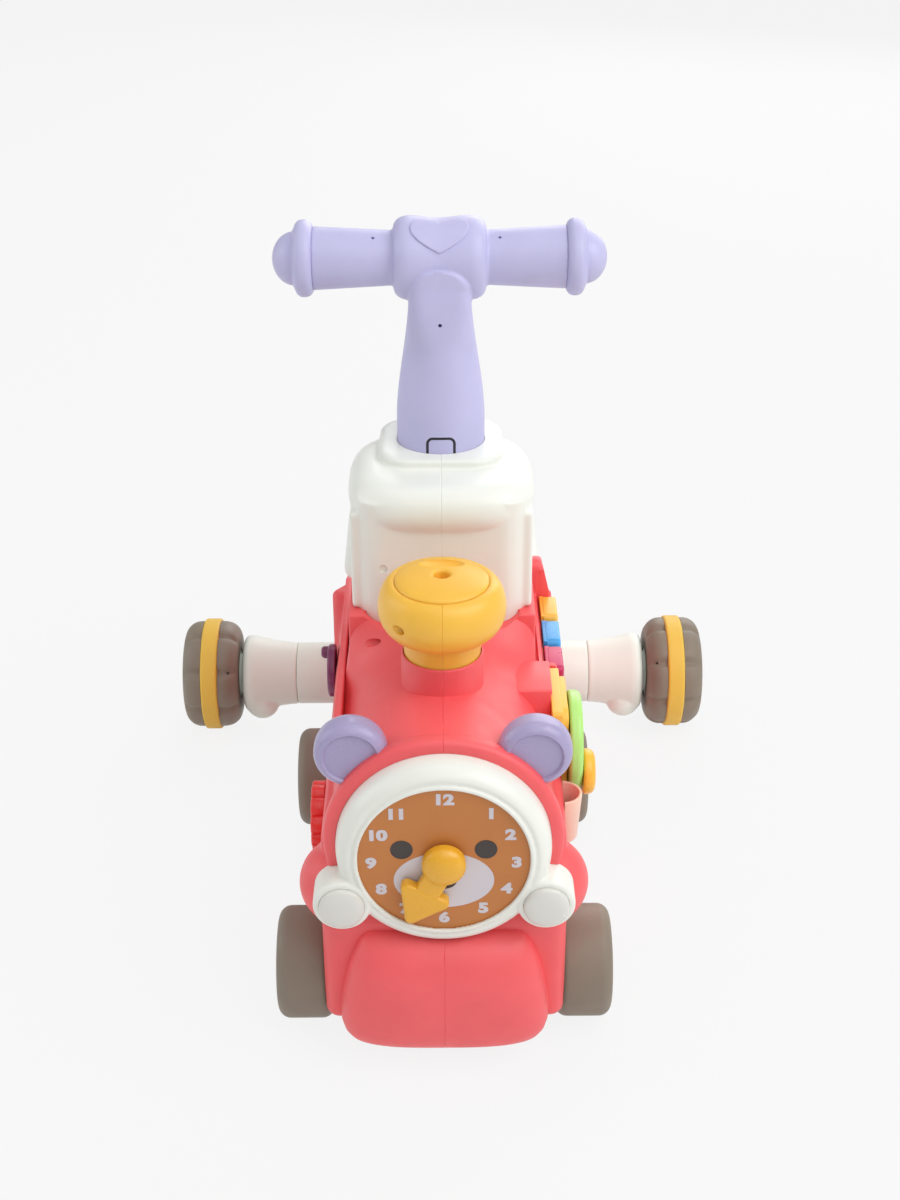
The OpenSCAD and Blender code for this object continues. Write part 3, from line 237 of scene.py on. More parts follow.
for name, node in nodes.items():
    for material_slot in node.material_slots:
        material_slot.material = FINISHES[slot_of[name]]
print("finishes:", len(FINISHES))

# %% [markdown]
# ## Tools for moulded shapes
# Three ways of shaping give nearly everything here. A turned piece is a profile spun round an
# axis. A lofted piece is a row of rings, bridged from one to the next. And a moulded shell is
# several such forms melted together: a voxel remesh makes one skin of them, and a few rounds of
# smoothing leave the small fillets that a mould has where two forms meet.

# %% Turned and lofted shapes
def oval_arc(cx, cy, across, along, start, stop, count, power=1.0):
    """Points of an arc of an ellipse, with angles in degrees. A power below 1 makes it fuller."""
    angles = [math.radians(start + (stop - start) * i / count) for i in range(count + 1)]
    return [(cx + across * math.cos(a) ** power, cy + along * math.sin(a)) for a in angles]


def arc(cx, cy, radius, start, stop, count=8):
    """Points of a round arc in a profile or an outline."""
    return oval_arc(cx, cy, radius, radius, start, stop, count)


def turned(profile, steps=120, ring=False):
    """Spins (radius, height) points about Z. A ring's profile closes on itself."""
    bm = bmesh.new()
    verts = [bm.verts.new((radius, 0, height)) for radius, height in profile]
    pairs = list(zip(verts, verts[1:]))
    if ring:
        pairs.append((verts[-1], verts[0]))
    edges = [bm.edges.new(pair) for pair in pairs]
    bmesh.ops.spin(bm, geom=verts + edges, axis=(0, 0, 1), angle=math.tau, steps=steps, use_merge=True)
    bmesh.ops.remove_doubles(bm, verts=bm.verts, dist=0.001)
    bmesh.ops.recalc_face_normals(bm, faces=bm.faces)
    return bm


def cylinder(radius, low, high, steps=120):
    """Plain round bar with sharp ends."""
    return turned([(0, low), (radius, low), (radius, high), (0, high)], steps)


def puck(radius, height, low_edge, high_edge, steps=120):
    """Round disc with rounded edges."""
    return turned([(0, 0), *arc(radius - low_edge, low_edge, low_edge, -90, 0),
                   *arc(radius - high_edge, height - high_edge, high_edge, 0, 90), (0, height)], steps)


def ball(radius, segments=64):
    """Sphere about the origin."""
    bm = bmesh.new()
    bmesh.ops.create_uvsphere(bm, u_segments=segments, v_segments=segments // 2, radius=radius)
    return bm


def lofted(rings, segments=64):
    """Bridges a row of rings. Each ring is a function from a unit circle's point to its place."""
    bm = bmesh.new()
    loops = []
    for place in rings:
        made = bmesh.ops.create_circle(bm, segments=segments, radius=1)["verts"]
        edges = {edge for vert in made for edge in vert.link_edges}
        for vert in made:
            vert.co = place(vert.co.x, vert.co.y)
        loops.append(list(edges))
    for first, second in zip(loops, loops[1:]):
        bmesh.ops.bridge_loops(bm, edges=first + second)
    for end in (loops[0], loops[-1]):
        bmesh.ops.edgeloop_fill(bm, edges=end)
    bmesh.ops.recalc_face_normals(bm, faces=bm.faces)
    return bm


def squared(value, power):
    """Pushes a circle's coordinate outwards, as in a superellipse."""
    return math.copysign(abs(value) ** (2 / power), value)


def ease(t):
    """Smooth step from 0 to 1."""
    t = max(0.0, min(1.0, t))
    return t * t * (3 - 2 * t)


print("an arc of a quarter turn has", len(arc(0, 0, 1, 0, 90)), "points")

# %% Blocks and outlines
def block(low, high, edge, segments=4):
    """Box from its low and high corners, with rounded edges."""
    bm = bmesh.new()
    bmesh.ops.create_cube(bm, size=1)
    size = [b - a for a, b in zip(low, high)]
    bmesh.ops.scale(bm, vec=size, verts=bm.verts)
    bmesh.ops.translate(bm, vec=[(a + b) / 2 for a, b in zip(low, high)], verts=bm.verts)
    bmesh.ops.bevel(bm, geom=bm.edges[:], offset=edge, segments=segments, profile=0.5,
                    affect="EDGES", material=-1)
    return bm


def plate(outline, thickness, low_edge=0.0, high_edge=0.0, segments=4):
    """Flat outline in XY, raised along Z, with its upper and lower rims rounded."""
    bm = bmesh.new()
    face = bm.faces.new([bm.verts.new((x, y, 0)) for x, y in outline])
    raised = bmesh.ops.extrude_face_region(bm, geom=[face])["geom"]
    top = [item for item in raised if isinstance(item, bmesh.types.BMVert)]
    bmesh.ops.translate(bm, vec=(0, 0, thickness), verts=top)
    bmesh.ops.recalc_face_normals(bm, faces=bm.faces)
    for height, edge in ((0, low_edge), (thickness, high_edge)):
        if edge > 0:
            rim = [e for e in bm.edges if all(abs(v.co.z - height) < 1e-6 for v in e.verts)]
            bmesh.ops.bevel(bm, geom=rim, offset=edge, segments=segments, profile=0.5,
                            affect="EDGES", material=-1)
    return bm


def round_rect(width, length, radius, count=6):
    """Outline of a rectangle with round corners."""
    corners = [(1, 1, 0), (-1, 1, 90), (-1, -1, 180), (1, -1, 270)]
    return [point for sx, sy, start in corners
            for point in arc(sx * (width / 2 - radius), sy * (length / 2 - radius), radius,
                             start, start + 90, count)]


print("a rectangle with round corners has", len(round_rect(2, 2, 0.5)), "points")

# %% Placing shapes
TO_FRONT = Matrix.Rotation(math.radians(90), 4, "X")
ALONG_Y = Matrix.Rotation(math.radians(-90), 4, "X")


def placed(bm, turn, x, y, z):
    """Turns a shape and then moves it to its place."""
    bmesh.ops.transform(bm, matrix=Matrix.Translation((x, y, z)) @ turn, verts=bm.verts)
    return bm


def moved(bm, x, y, z):
    """Moves a shape to its place without a turn."""
    return placed(bm, Matrix.Identity(4), x, y, z)


def to_side(side):
    """Turn that points a shape's Z axis out of one side."""
    return Matrix.Rotation(math.radians(90 * side), 4, "Y")


print("ways to place a shape:", [tool.__name__ for tool in (placed, moved, to_side)])

# %% Melting, cutting and adding
def as_object(bm):
    """Puts a shape on a work object and frees the bmesh."""
    mesh = bpy.data.meshes.new("work")
    bm.to_mesh(mesh)
    bm.free()
    work = bpy.data.objects.new("work", mesh)
    bpy.context.scene.collection.objects.link(work)
    return work


def through(bm, kind, tool=None, **settings):
    """Runs a shape through one modifier and returns the result."""
    work = as_object(bm)
    modifier = work.modifiers.new("work", kind)
    helper = as_object(tool) if tool else None
    if helper:
        modifier.object = helper
    for key, value in settings.items():
        setattr(modifier, key, value)
    result = bmesh.new()
    result.from_object(work, bpy.context.evaluated_depsgraph_get())
    for item in filter(None, (work, helper)):
        mesh = item.data
        bpy.data.objects.remove(item)
        bpy.data.meshes.remove(mesh)
    return result


def joined(forms):
    """Puts several shapes in one bmesh without melting them."""
    whole = bmesh.new()
    for form in forms:
        mesh = bpy.data.meshes.new("work")
        form.to_mesh(mesh)
        form.free()
        whole.from_mesh(mesh)
        bpy.data.meshes.remove(mesh)
    return whole


def melted(forms, voxel, rounds):
    """One smooth skin over several overlapping forms."""
    skin = through(joined(forms), "REMESH", mode="VOXEL", voxel_size=voxel)
    for _ in range(rounds):
        bmesh.ops.smooth_vert(skin, verts=skin.verts, factor=0.5,
                              use_axis_x=True, use_axis_y=True, use_axis_z=True)
    return skin


def combined(bm, operation, tools):
    """Combines a closed shape with each closed tool in turn."""
    for tool in tools:
        bm = through(bm, "BOOLEAN", tool, operation=operation, solver="MANIFOLD")
    return bm


def cut(bm, *tools):
    """Takes each tool out of a shape."""
    return combined(bm, "DIFFERENCE", tools)


def common(bm, tool):
    """What two shapes share."""
    return combined(bm, "INTERSECT", [tool])


def added(bm, *forms):
    """Adds forms to a shape, with a crisp crease where they meet."""
    return combined(bm, "UNION", forms)


print("ways to combine shapes:", [tool.__name__ for tool in (joined, melted, cut, common, added)])

# %% Slicing, and halves that meet in a groove
SNAP = 0.01
GROOVE = 0.35


def sliced(bm, point, normal, clear=True):
    """Slices a shape along a plane, keeps what the normal points to, and returns the cut's edges."""
    geom = bm.verts[:] + bm.edges[:] + bm.faces[:]
    made = bmesh.ops.bisect_plane(bm, geom=geom, dist=SNAP, plane_co=point, plane_no=normal,
                                  clear_inner=clear)
    return [item for item in made["geom_cut"] if isinstance(item, bmesh.types.BMEdge)]


def trimmed(bm, point, normal):
    """A closed shape without what lies behind a plane."""
    bmesh.ops.triangle_fill(bm, edges=sliced(bm, point, normal), use_beauty=True)
    return bm


def half_of(bm, point, normal):
    """One half of a shape. Its rim is drawn in, so that two halves meet in a fine groove."""
    half = bm.copy()
    point = Vector(point)
    normal = Vector(normal)
    for vert in half.verts:
        away = (vert.co - point).dot(normal)
        if abs(away) < GROOVE / 2:
            vert.co -= normal * away
        elif 0 < away < 2 * GROOVE:
            vert.co += normal * (GROOVE - away)
    sliced(half, point + normal * GROOVE, normal, clear=False)
    rim = sliced(half, point, normal)
    half.normal_update()
    outward = {vert: vert.normal - normal * vert.normal.dot(normal) for edge in rim for vert in edge.verts}
    for vert, out in outward.items():
        vert.co += normal * SNAP - out.normalized() * GROOVE
    bmesh.ops.triangle_fill(half, edges=rim, use_beauty=True)
    return half


print("groove between two halves:", 2 * GROOVE, "mm wide")

# %% Finishing a piece
SHARP_ANGLE = math.radians(38)


def piece(name, bm, body, finish, stands_for=(), material=None):
    """Scales a shape to metres, shades it, and lets it ride on a CAD body."""
    bmesh.ops.scale(bm, vec=(MM, MM, MM), verts=bm.verts)
    for face in bm.faces:
        face.smooth = True
        face.material_index = 0
    for edge in bm.edges:
        edge.smooth = edge.calc_face_angle(0) < SHARP_ANGLE
    mesh = bpy.data.meshes.new(name)
    triangles = sum(len(face.verts) - 2 for face in bm.faces)
    bm.to_mesh(mesh)
    bm.free()
    made = bpy.data.objects.new(name, mesh)
    bpy.context.scene.collection.objects.link(made)
    mesh.materials.append(material or FINISHES[finish])
    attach(made, body)
    if stands_for:
        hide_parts(*stands_for)
    print(f"{name}: {triangles} triangles on {body}")


def side_halves(label, bm, body, finish, node):
    """Parts a shape on the middle plane and makes a piece of each half."""
    for name, side in SIDES:
        half = half_of(bm, (0, 0, 0), (side, 0, 0))
        piece(f"{label}_{name}", half, body, finish, [f"{node}_{name}"])
    bm.free()


print("creases of more than", round(math.degrees(SHARP_ANGLE)), "degrees stay sharp")

# %% [markdown]
# ## Body
# The coral body is moulded in two halves that meet on the middle plane. Its hood is a barrel
# with a thick lip round the clock, two cheeks carry the headlights, and a full nose hangs in front
# of the wheels. Drawn as one mesh this would be a maze of edge loops, so the forms are built
# one by one. The soft ones are melted, which gives the inner corners of a moulded shell, and those
# with a crisp foot, such as the nose and the chimney boss, are added to the melted skin.

# %% Hood, lip, cheeks and chimney boss
HOOD_Z = 164
HOOD_R = 70
HOOD_FRONT = -38
HOOD_BACK = 112
LIP_R = 74.6
LIP_BACK = -25
CHEEK_R = 28.5
CHEEK_X = 63.5
CHIMNEY_AT = 44
BODY_HALF = 77.5
# Forms that stand on the body begin inside it, at this height
ROOT_Z = 150

hood = turned([(0, HOOD_FRONT), (HOOD_R - 2, HOOD_FRONT), (HOOD_R, HOOD_FRONT + 3), (HOOD_R, HOOD_BACK),
               (0, HOOD_BACK)])
lip = turned([(0, -40.5), *arc(LIP_R - 4.5, -36, 4.5, -90, 0), *arc(LIP_R - 7, -33, 7, 10, 80),
              (HOOD_R - 2, LIP_BACK), (0, LIP_BACK)])
body_forms = [placed(form, ALONG_Y, 0, FRONT_AXLE, HOOD_Z) for form in (hood, lip)]
for side in (-1, 1):
    body_forms.append(moved(ball(CHEEK_R), side * CHEEK_X, at(-19), 119))
boss = moved(puck(26.2, 102.5, 1, 1.5), 0, at(CHIMNEY_AT), ROOT_Z)
print("body forms so far:", len(body_forms) + 1)

# %% Nose
NOSE_MIDDLE = -43
NOSE_BACK = -36
# Height, half width and reach of each ring: wide and full low down, narrow at the ledge
NOSE_LEVELS = ((15, 47, 55), (15.7, 53.5, 59), (17.5, 58.5, 62.5), (21, 62.5, 66), (26, 65.2, 68.8),
               (33, 66.8, 70.8), (42, 67, 72), (54, 65.4, 72.6), (65, 63.2, 72.2), (74, 61, 71),
               (81, 59, 69), (87, 56.8, 66.2), (92, 54.6, 62.6), (95.6, 52.6, 58.6), (98, 50.4, 54.5),
               (99.5, 47, 50))


def nose_ring(height, half_width, reach):
    """One level ring of the nose: full in front, and let into the skirt behind."""
    def place(x, y):
        depth = squared(y, 3)
        end = at(-reach) if depth < 0 else at(NOSE_BACK)
        along = at(NOSE_MIDDLE) + abs(depth) * (end - at(NOSE_MIDDLE))
        return (half_width * squared(x, 3.2), along, height)
    return place


nose = lofted([nose_ring(*level) for level in NOSE_LEVELS], 128)
skirt = block((-BODY_HALF, at(-45), 24), (BODY_HALF, at(46), 110), 9, 6)
body_forms.append(skirt)
print("nose levels:", len(NOSE_LEVELS))

# %% Side walls, console and rail
DECK_Z = 186
RIM_Z = 207.5
WALL_END = 240
CONSOLE_BACK = 210
CONSOLE_TOP = 234
CONSOLE_X = BODY_HALF - 0.5
RAIL_Z = 203


def side_prism(points, x_low, x_high, edge):
    """Outline drawn along the train and its height, given a width across the train."""
    bm = plate([(at(d), z) for d, z in points], x_high - x_low, edge, edge)
    turn = Matrix(((0, 0, 1, 0), (1, 0, 0, 0), (0, 1, 0, 0), (0, 0, 0, 1)))
    return placed(bm, turn, x_low, 0, 0)


def lean_plane(side, x, z, degrees):
    """Point and normal of a side plane that leans in above a bend."""
    lean = math.radians(degrees)
    return (side * x, 0, z), (-side * math.cos(lean), 0, -math.sin(lean))


wall_side = [(WALL_END, 22), (WALL_END, DECK_Z), (CONSOLE_BACK, DECK_Z), *arc(-14, 149, 10, 95, 180),
             (-24, 22)]
walls = side_prism(wall_side, -BODY_HALF, BODY_HALF, 6)
body_forms.append(trimmed(walls, *lean_plane(-1, BODY_HALF, 150, 12)))
console_side = [(74, ROOT_Z), *arc(86, RIM_Z - 12, 12, 180, 90), (194, RIM_Z),
                *arc(201, CONSOLE_TOP - 7, 7, 180, 90),
                *arc(CONSOLE_BACK - 7, CONSOLE_TOP - 7, 7, 90, 0), (CONSOLE_BACK, ROOT_Z)]
console = side_prism(console_side, 57, CONSOLE_X, 2.5)
body_forms.append(trimmed(console, *lean_plane(1, CONSOLE_X, 206, 13)))
rail_side = [(36, ROOT_Z), *arc(48, RAIL_Z - 12, 12, 180, 90), *arc(228, RAIL_Z - 12, 12, 90, 0),
             (WALL_END, ROOT_Z)]
rail = side_prism(rail_side, -70.5, -65.5, 1.2)
print("body forms so far:", len(body_forms) + 3)

# %% Tail, crank box and kerbs
TAIL_HALF = 82
TAIL_ROUND = 26
TAIL_CORNER = 7
TAIL_LOW = 12
TAIL_TAPER = 0.17
KERB_X = 62.3
KERB_FRONT = 107
KERB_TOP = 241

tail_outline = [*arc(TAIL_HALF - TAIL_ROUND, at(358), TAIL_ROUND, 0, 90),
                *arc(TAIL_ROUND - TAIL_HALF, at(358), TAIL_ROUND, 90, 180),
                *arc(TAIL_CORNER - TAIL_HALF, at(243), TAIL_CORNER, 180, 270),
                *arc(TAIL_HALF - TAIL_CORNER, at(243), TAIL_CORNER, 270, 360)]
tail = moved(plate(tail_outline, DECK_Z - TAIL_LOW, 6, 4), 0, 0, TAIL_LOW)
long_edges = [edge for edge in tail.edges if edge.calc_length() > 60]
bmesh.ops.subdivide_edges(tail, edges=long_edges, cuts=6, use_grid_fill=True)
for vert in tail.verts:
    # The tail is narrower towards its top, but not where it meets the side walls
    vert.co.x *= 1 - TAIL_TAPER * ease((vert.co.y - at(246)) / 14) * ease((vert.co.z - 105) / 75)
body_forms.append(tail)
crank_box = block((45, at(54), ROOT_Z), (71, at(92), 215), 1.5)
kerbs = []
for side in (-1, 1):
    # A strip along the cab, and a block that fills the corner in front of it
    for inner, back in ((57, 207), (38, 127)):
        x_low, x_high = sorted((side * inner, side * KERB_X))
        kerbs.append(block((x_low, at(KERB_FRONT), ROOT_Z), (x_high, at(back), KERB_TOP), 1.2))
print("kerb blocks:", len(kerbs))

# %% Cowl, and one skin over the body
COWL_FRONT = 68
COWL_LENGTH = 43
COWL_HALF_W = 61.5
COWL_HALF_H = 46.5
COWL_Z = 196.5
COWL_STEPS = 16


def cowl_ring(share):
    """One upright ring of the cowl, which flares from the round hood to the square cab."""
    flare = share ** 2.5

    def place(x, y):
        square = (COWL_HALF_W * squared(x, 9), COWL_Z + COWL_HALF_H * squared(y, 9))
        barrel = (HOOD_R * x, HOOD_Z + HOOD_R * y)
        return (barrel[0] + flare * (square[0] - barrel[0]), at(COWL_FRONT + COWL_LENGTH * share),
                barrel[1] + flare * (square[1] - barrel[1]))
    return place


body_forms.append(lofted([cowl_ring(step / COWL_STEPS) for step in range(COWL_STEPS + 1)], 144))
body_skin = added(melted(body_forms, 1.45, 3), boss, nose, rail, crank_box, *kerbs)
print("body skin faces:", len(body_skin.faces))

# %% [markdown]
# The wheels, the chimney, the keys and the clock need room in the body. Each opening is a closed
# tool that is taken out of the melted skin, so its edge stays crisp, as a moulded opening has it.

# %% Sizes that the openings share with other pieces
CLEAR = 0.2
WHEEL_R = 37
MIDDLE_AXLE = 215
REAR_AXLE = 353
REAR_R = 46
BEZEL_R = 66.5
CLOCK_SEAT = -37
POD_R = 18
LAMP_X = 63
LAMP_Z = 130
KEY_AT = (117, 152, 187)
KEY_Z = 187
KEY_H = 32
KEY_L = 31
KEY_GAP = 0.35
PLATE_AT = 67.5
PLATE_X = 70.4
PLATE_Z = 172.5
PLATE_H = 69
PLATE_L = 59
PLATE_GAP = 0.15
CAB_AT = 158
CAB_LOW = 172
CAB_W = 114
CAB_L = 96
CAB_CORNER = 18
NECK_R = 24.3
SCREW_R = 2.9
print("clearance round let-in pieces:", CLEAR, "mm")

# %% Openings in the body
OUTSIDE_X = 120
OUTSIDE_Y = -90
WELL_X = 69.5
U_CUT_H = 140
U_CUT_Z = HOOD_Z + HOOD_R + CLEAR + U_CUT_H / 2
SCREWS = ((-27, 227), (-28, 101), (92, 188), (110, 85), (262, 75), (340, 140), (96, 227))


def rod(side, x_from, x_to, radius, distance, z):
    """Round tool along X, from one place to another on one side."""
    return placed(cylinder(radius, x_from, x_to, 96), to_side(side), 0, at(distance), z)


def bore(y_from, y_to, radius, x, z):
    """Round tool along Y, between two distances behind the front axle."""
    return placed(cylinder(radius, y_from, y_to), ALONG_Y, x, FRONT_AXLE, z)


openings = [bore(OUTSIDE_Y, CLOCK_SEAT, BEZEL_R + CLEAR, 0, HOOD_Z)]
for side in (-1, 1):
    openings.append(bore(OUTSIDE_Y, CLOCK_SEAT, POD_R + CLEAR, side * LAMP_X, LAMP_Z))
    for axle in (0, MIDDLE_AXLE):
        openings.append(rod(side, WELL_X, OUTSIDE_X, WHEEL_R + 2, axle, WHEEL_R))
openings.append(moved(cylinder(NECK_R + 0.6, 184, 300), 0, at(CHIMNEY_AT), 0))
# The keys share one recess, which is deeper along its top
for x_floor, z_low in ((69.5, KEY_Z - KEY_H / 2 - KEY_GAP), (67.3, 197)):
    openings.append(block((x_floor, at(KEY_AT[0]) - KEY_L / 2 - KEY_GAP, z_low),
                          (OUTSIDE_X, at(KEY_AT[-1]) + KEY_L / 2 + KEY_GAP, RIM_Z + 20), 0.6))
plate_low = (PLATE_X - CLEAR, at(PLATE_AT) - PLATE_L / 2 - PLATE_GAP, PLATE_Z - PLATE_H / 2 - PLATE_GAP)
plate_high = (OUTSIDE_X, at(PLATE_AT) + PLATE_L / 2 + PLATE_GAP, RIM_Z + 4)
openings.append(block(plate_low, plate_high, 0.6))
cab_room = plate(round_rect(CAB_W + 2 * CLEAR, CAB_L + 2 * CLEAR, CAB_CORNER + CLEAR, 10), 200)
openings.append(moved(cab_room, 0, at(CAB_AT), CAB_LOW))
u_cut = plate(round_rect(CAB_W + 2 * CLEAR, U_CUT_H, 20, 12), 48)
openings.append(placed(u_cut, TO_FRONT, 0, at(114), U_CUT_Z))
console_groove = block((KERB_X, at(98), RIM_Z - 5), (65, at(192), RIM_Z + 20), 1)
openings.append(console_groove)
for distance, z in SCREWS:
    openings.append(rod(-1, 16, OUTSIDE_X, SCREW_R, distance, z))
side_halves("body_shell", cut(body_skin, *openings), "train", "coral_shell", "body")

# %% [markdown]
# ## Clock face
# A white bezel frames the dial. It is a turned ring, broad and convex outside with a small rolled
# lip inside, and its two headlight pods grow out of it, so ring and pods are melted together.

# %% Bezel with headlight pods
DIAL_R = 52.5
DIAL_SEAT_R = 56.5
DIAL_FACE = -57
DIAL_BACK = -41
ROLL_R = 1.4
CREASE_R = DIAL_R + 4.4
BEZEL_BACK = CLOCK_SEAT - 0.1

bezel_profile = [(DIAL_R, DIAL_FACE), *arc(DIAL_R + ROLL_R, -58.1, ROLL_R, 180, 330),
                 (DIAL_R + 3.6, -57.6), *oval_arc(CREASE_R, -43, BEZEL_R - CREASE_R, -15.4, 81, 0, 9),
                 (BEZEL_R, BEZEL_BACK), (DIAL_SEAT_R, BEZEL_BACK), (DIAL_SEAT_R, DIAL_FACE)]
bezel_forms = [placed(turned(bezel_profile, 160, ring=True), ALONG_Y, 0, FRONT_AXLE, HOOD_Z)]
for side in (-1, 1):
    pod = puck(POD_R, 22.4, 0.5, 2.5)
    bezel_forms.append(placed(pod, TO_FRONT, side * LAMP_X, at(BEZEL_BACK), LAMP_Z))
bezel_skin = melted(bezel_forms, 0.7, 2)
print("bezel skin faces:", len(bezel_skin.faces))

# %% Dial seat, lamp pockets and lenses
LENS_R = 14.2
LENS_EDGE = 6.2
LENS_DOME = 3.6
POCKET_FLOOR = -54.5

dial_seat = [bore(DIAL_FACE + 0.1, DIAL_BACK, DIAL_SEAT_R, 0, HOOD_Z),
             bore(OUTSIDE_Y, DIAL_BACK, DIAL_R - 0.1, 0, HOOD_Z)]
lamp_pockets = [bore(-70, POCKET_FLOOR, LENS_R + CLEAR, side * LAMP_X, LAMP_Z) for side in (-1, 1)]
piece("bezel_shell", cut(bezel_skin, *dial_seat, *lamp_pockets), "train", "white_shell", ["clock_bezel"])
lens_dome = oval_arc(0, LENS_EDGE, LENS_R, LENS_DOME, 7.5, 82.5, 10, 0.7)
for name, side in SIDES:
    lens = turned([(0, 0), (LENS_R, 0), (LENS_R, LENS_EDGE), *lens_dome, (0, LENS_EDGE + LENS_DOME)])
    placed(lens, TO_FRONT, side * LAMP_X, at(POCKET_FLOOR - 0.15), LAMP_Z)
    piece(f"lens_dome_{name}", lens, "train", "lens_grey", [f"headlight_lens_{name}"])

# %% [markdown]
# The dial is a printed disc: twelve numerals and a plain bear's face of simple ovals. Print has no
# thickness to speak of, so each shape is a plate of a tenth of a millimetre on the dial.

# %% Printed numerals and face
NUMERAL_R = 44.4
NUMERAL_SIZE = 10.2
NUMERAL_BOLD = 0.62
NUMERAL_STRETCH = 1.22
# Degrees from the top for 12 and for the hours 1 to 6; the hours 7 to 11 mirror them
HOUR_ANGLES = (0, 40, 65.5, 93, 120, 147, 180)
PRINT_FACE = at(DIAL_FACE) + 0.06
PRINT_T = 0.12
PALE_INK = moulded("ink_pale_grey", "#D2CCD2", (0.4, 0.5), grain=0.01, uneven=0.02)
DARK_INK = moulded("ink_dark_brown", "#3B3230", (0.42, 0.52), grain=0.01, uneven=0.05)


def numeral(text, x, z):
    """A bold numeral as a thin plate that faces the front."""
    curve = bpy.data.curves.new("numeral", "FONT")
    curve.body = text
    curve.size = NUMERAL_SIZE
    curve.align_x = "CENTER"
    curve.align_y = "CENTER"
    curve.bevel_depth = NUMERAL_BOLD
    curve.bevel_resolution = 2
    work = bpy.data.objects.new("numeral", curve)
    bm = bmesh.new()
    bm.from_mesh(work.to_mesh())
    work.to_mesh_clear()
    bpy.data.objects.remove(work)
    bmesh.ops.remove_doubles(bm, verts=bm.verts, dist=0.0005)
    # The bevel makes the strokes bold, and is then pressed flat
    bmesh.ops.scale(bm, vec=(NUMERAL_STRETCH, 1, PRINT_T / (2 * NUMERAL_BOLD)), verts=bm.verts)
    return placed(bm, TO_FRONT, x, PRINT_FACE - PRINT_T / 2, z)


def oval(width, height, x, z, lift=0.0):
    """A printed oval that faces the front."""
    outline = oval_arc(0, 0, width / 2, height / 2, 0, 352.5, 47)
    return placed(plate(outline, PRINT_T), TO_FRONT, x, PRINT_FACE - lift, z)


hours = []
for hour in range(1, 13):
    angle = math.radians(HOUR_ANGLES[hour % 12] if hour % 12 < 7 else -HOUR_ANGLES[12 - hour])
    hours.append(numeral(str(hour), NUMERAL_R * math.sin(angle), HOOD_Z + NUMERAL_R * math.cos(angle)))
piece("dial_numerals", joined(hours), "train", "dial_brown", material=PALE_INK)
piece("dial_muzzle", oval(61.5, 41.5, 0, HOOD_Z - 15.3), "train", "dial_brown", material=PALE_INK)
eyes = [oval(13.7, 13.7, side * 25.6, HOOD_Z + 7.9) for side in (-1, 1)]
snout = oval(15.5, 11.5, 0, HOOD_Z - 16, PRINT_T)
piece("dial_eyes_and_snout", joined([*eyes, snout]), "train", "dial_brown", material=DARK_INK)

# %% [markdown]
# The clock hand is one thick yellow moulding: a domed knob to hold, a short neck, and a rounded
# arrowhead whose top edge is broadly bevelled. The forms only meet, because its creases are crisp.

# %% Clock hand
HAND_TURN = Matrix.Rotation(math.radians(28), 4, "Y") @ TO_FRONT
HAND_BASE = at(DIAL_FACE) - 1.5
HAND_KNOB_R = 13.5
HAND_KNOB_EDGE = 4.5
HAND_KNOB_DOME = 7.5
# Place and radius of the arrowhead's three rounded corners
HEAD_CORNERS = ((0, -43.2, 4), (12.2, -24.8, 4), (-12.2, -24.8, 4))


def rounded_triangle(corners):
    """Outline round three circles, in turn."""
    points = []
    for (x, y, r), before, after in zip(corners, corners[-1:] + corners[:-1], corners[1:] + corners[:1]):
        start = math.degrees(math.atan2(y - before[1], x - before[0])) - 90
        stop = math.degrees(math.atan2(after[1] - y, after[0] - x)) - 90
        points += arc(x, y, r, start, start + (stop - start) % 360)
    return points


head = plate(rounded_triangle(HEAD_CORNERS), 8, 0.8, 2.2, 5)
neck = block((-7.9, -27, 0.2), (7.9, -2, 7.6), 1.8)
knob = turned([(0, 0), *arc(HAND_KNOB_R - 1.5, 1.5, 1.5, -90, 0), (HAND_KNOB_R, HAND_KNOB_EDGE),
               *oval_arc(0, HAND_KNOB_EDGE, HAND_KNOB_R, HAND_KNOB_DOME, 9, 81, 8),
               (0, HAND_KNOB_EDGE + HAND_KNOB_DOME)])
shaft = cylinder(4, -9.5, 0.5, 48)
hand = placed(joined([head, neck, knob, shaft]), HAND_TURN, 0, HAND_BASE, HOOD_Z)
piece("hand_shell", hand, "clock_hand", "hand_yellow", ["clock_hand"])

# %% [markdown]
# ## Ears
# Each ear is a turned lavender puck, thick and round-edged, with a flat disc let into its front.
# A hollow is cut where it sits on the hood, so that it hugs the barrel instead of sinking into it.

# %% Ears
EAR_R = 22.5
EAR_T = 24
EAR_X = 56
EAR_Z = 223
EAR_FRONT = -35.85
ear_profile = [(0, 0), *arc(EAR_R - 11, 11, 11, -90, 0), *arc(EAR_R - 8, EAR_T - 8, 8, 0, 62),
               (17.2, EAR_T - 0.6), (16.3, EAR_T - 1.2), (15.9, EAR_T - 2.4), (0, EAR_T - 2.2)]
for name, side in SIDES:
    ear = placed(turned(ear_profile), TO_FRONT, side * EAR_X, at(EAR_FRONT + EAR_T), EAR_Z)
    ear = cut(ear, bore(-60, 10, HOOD_R + 0.1, 0, HOOD_Z))
    piece(f"ear_shell_{name}", ear, "train", "ear_lavender", [f"ear_{name}"])

# %% [markdown]
# ## Chimney
# A mushroom on a neck, turned from one profile and then parted into two halves, with a cap that
# is let into its top. The cap has a peg hole and an oblong finger recess; a screw well shows low
# on the left. Cutting the wells after turning keeps the rest of the surface perfectly round.

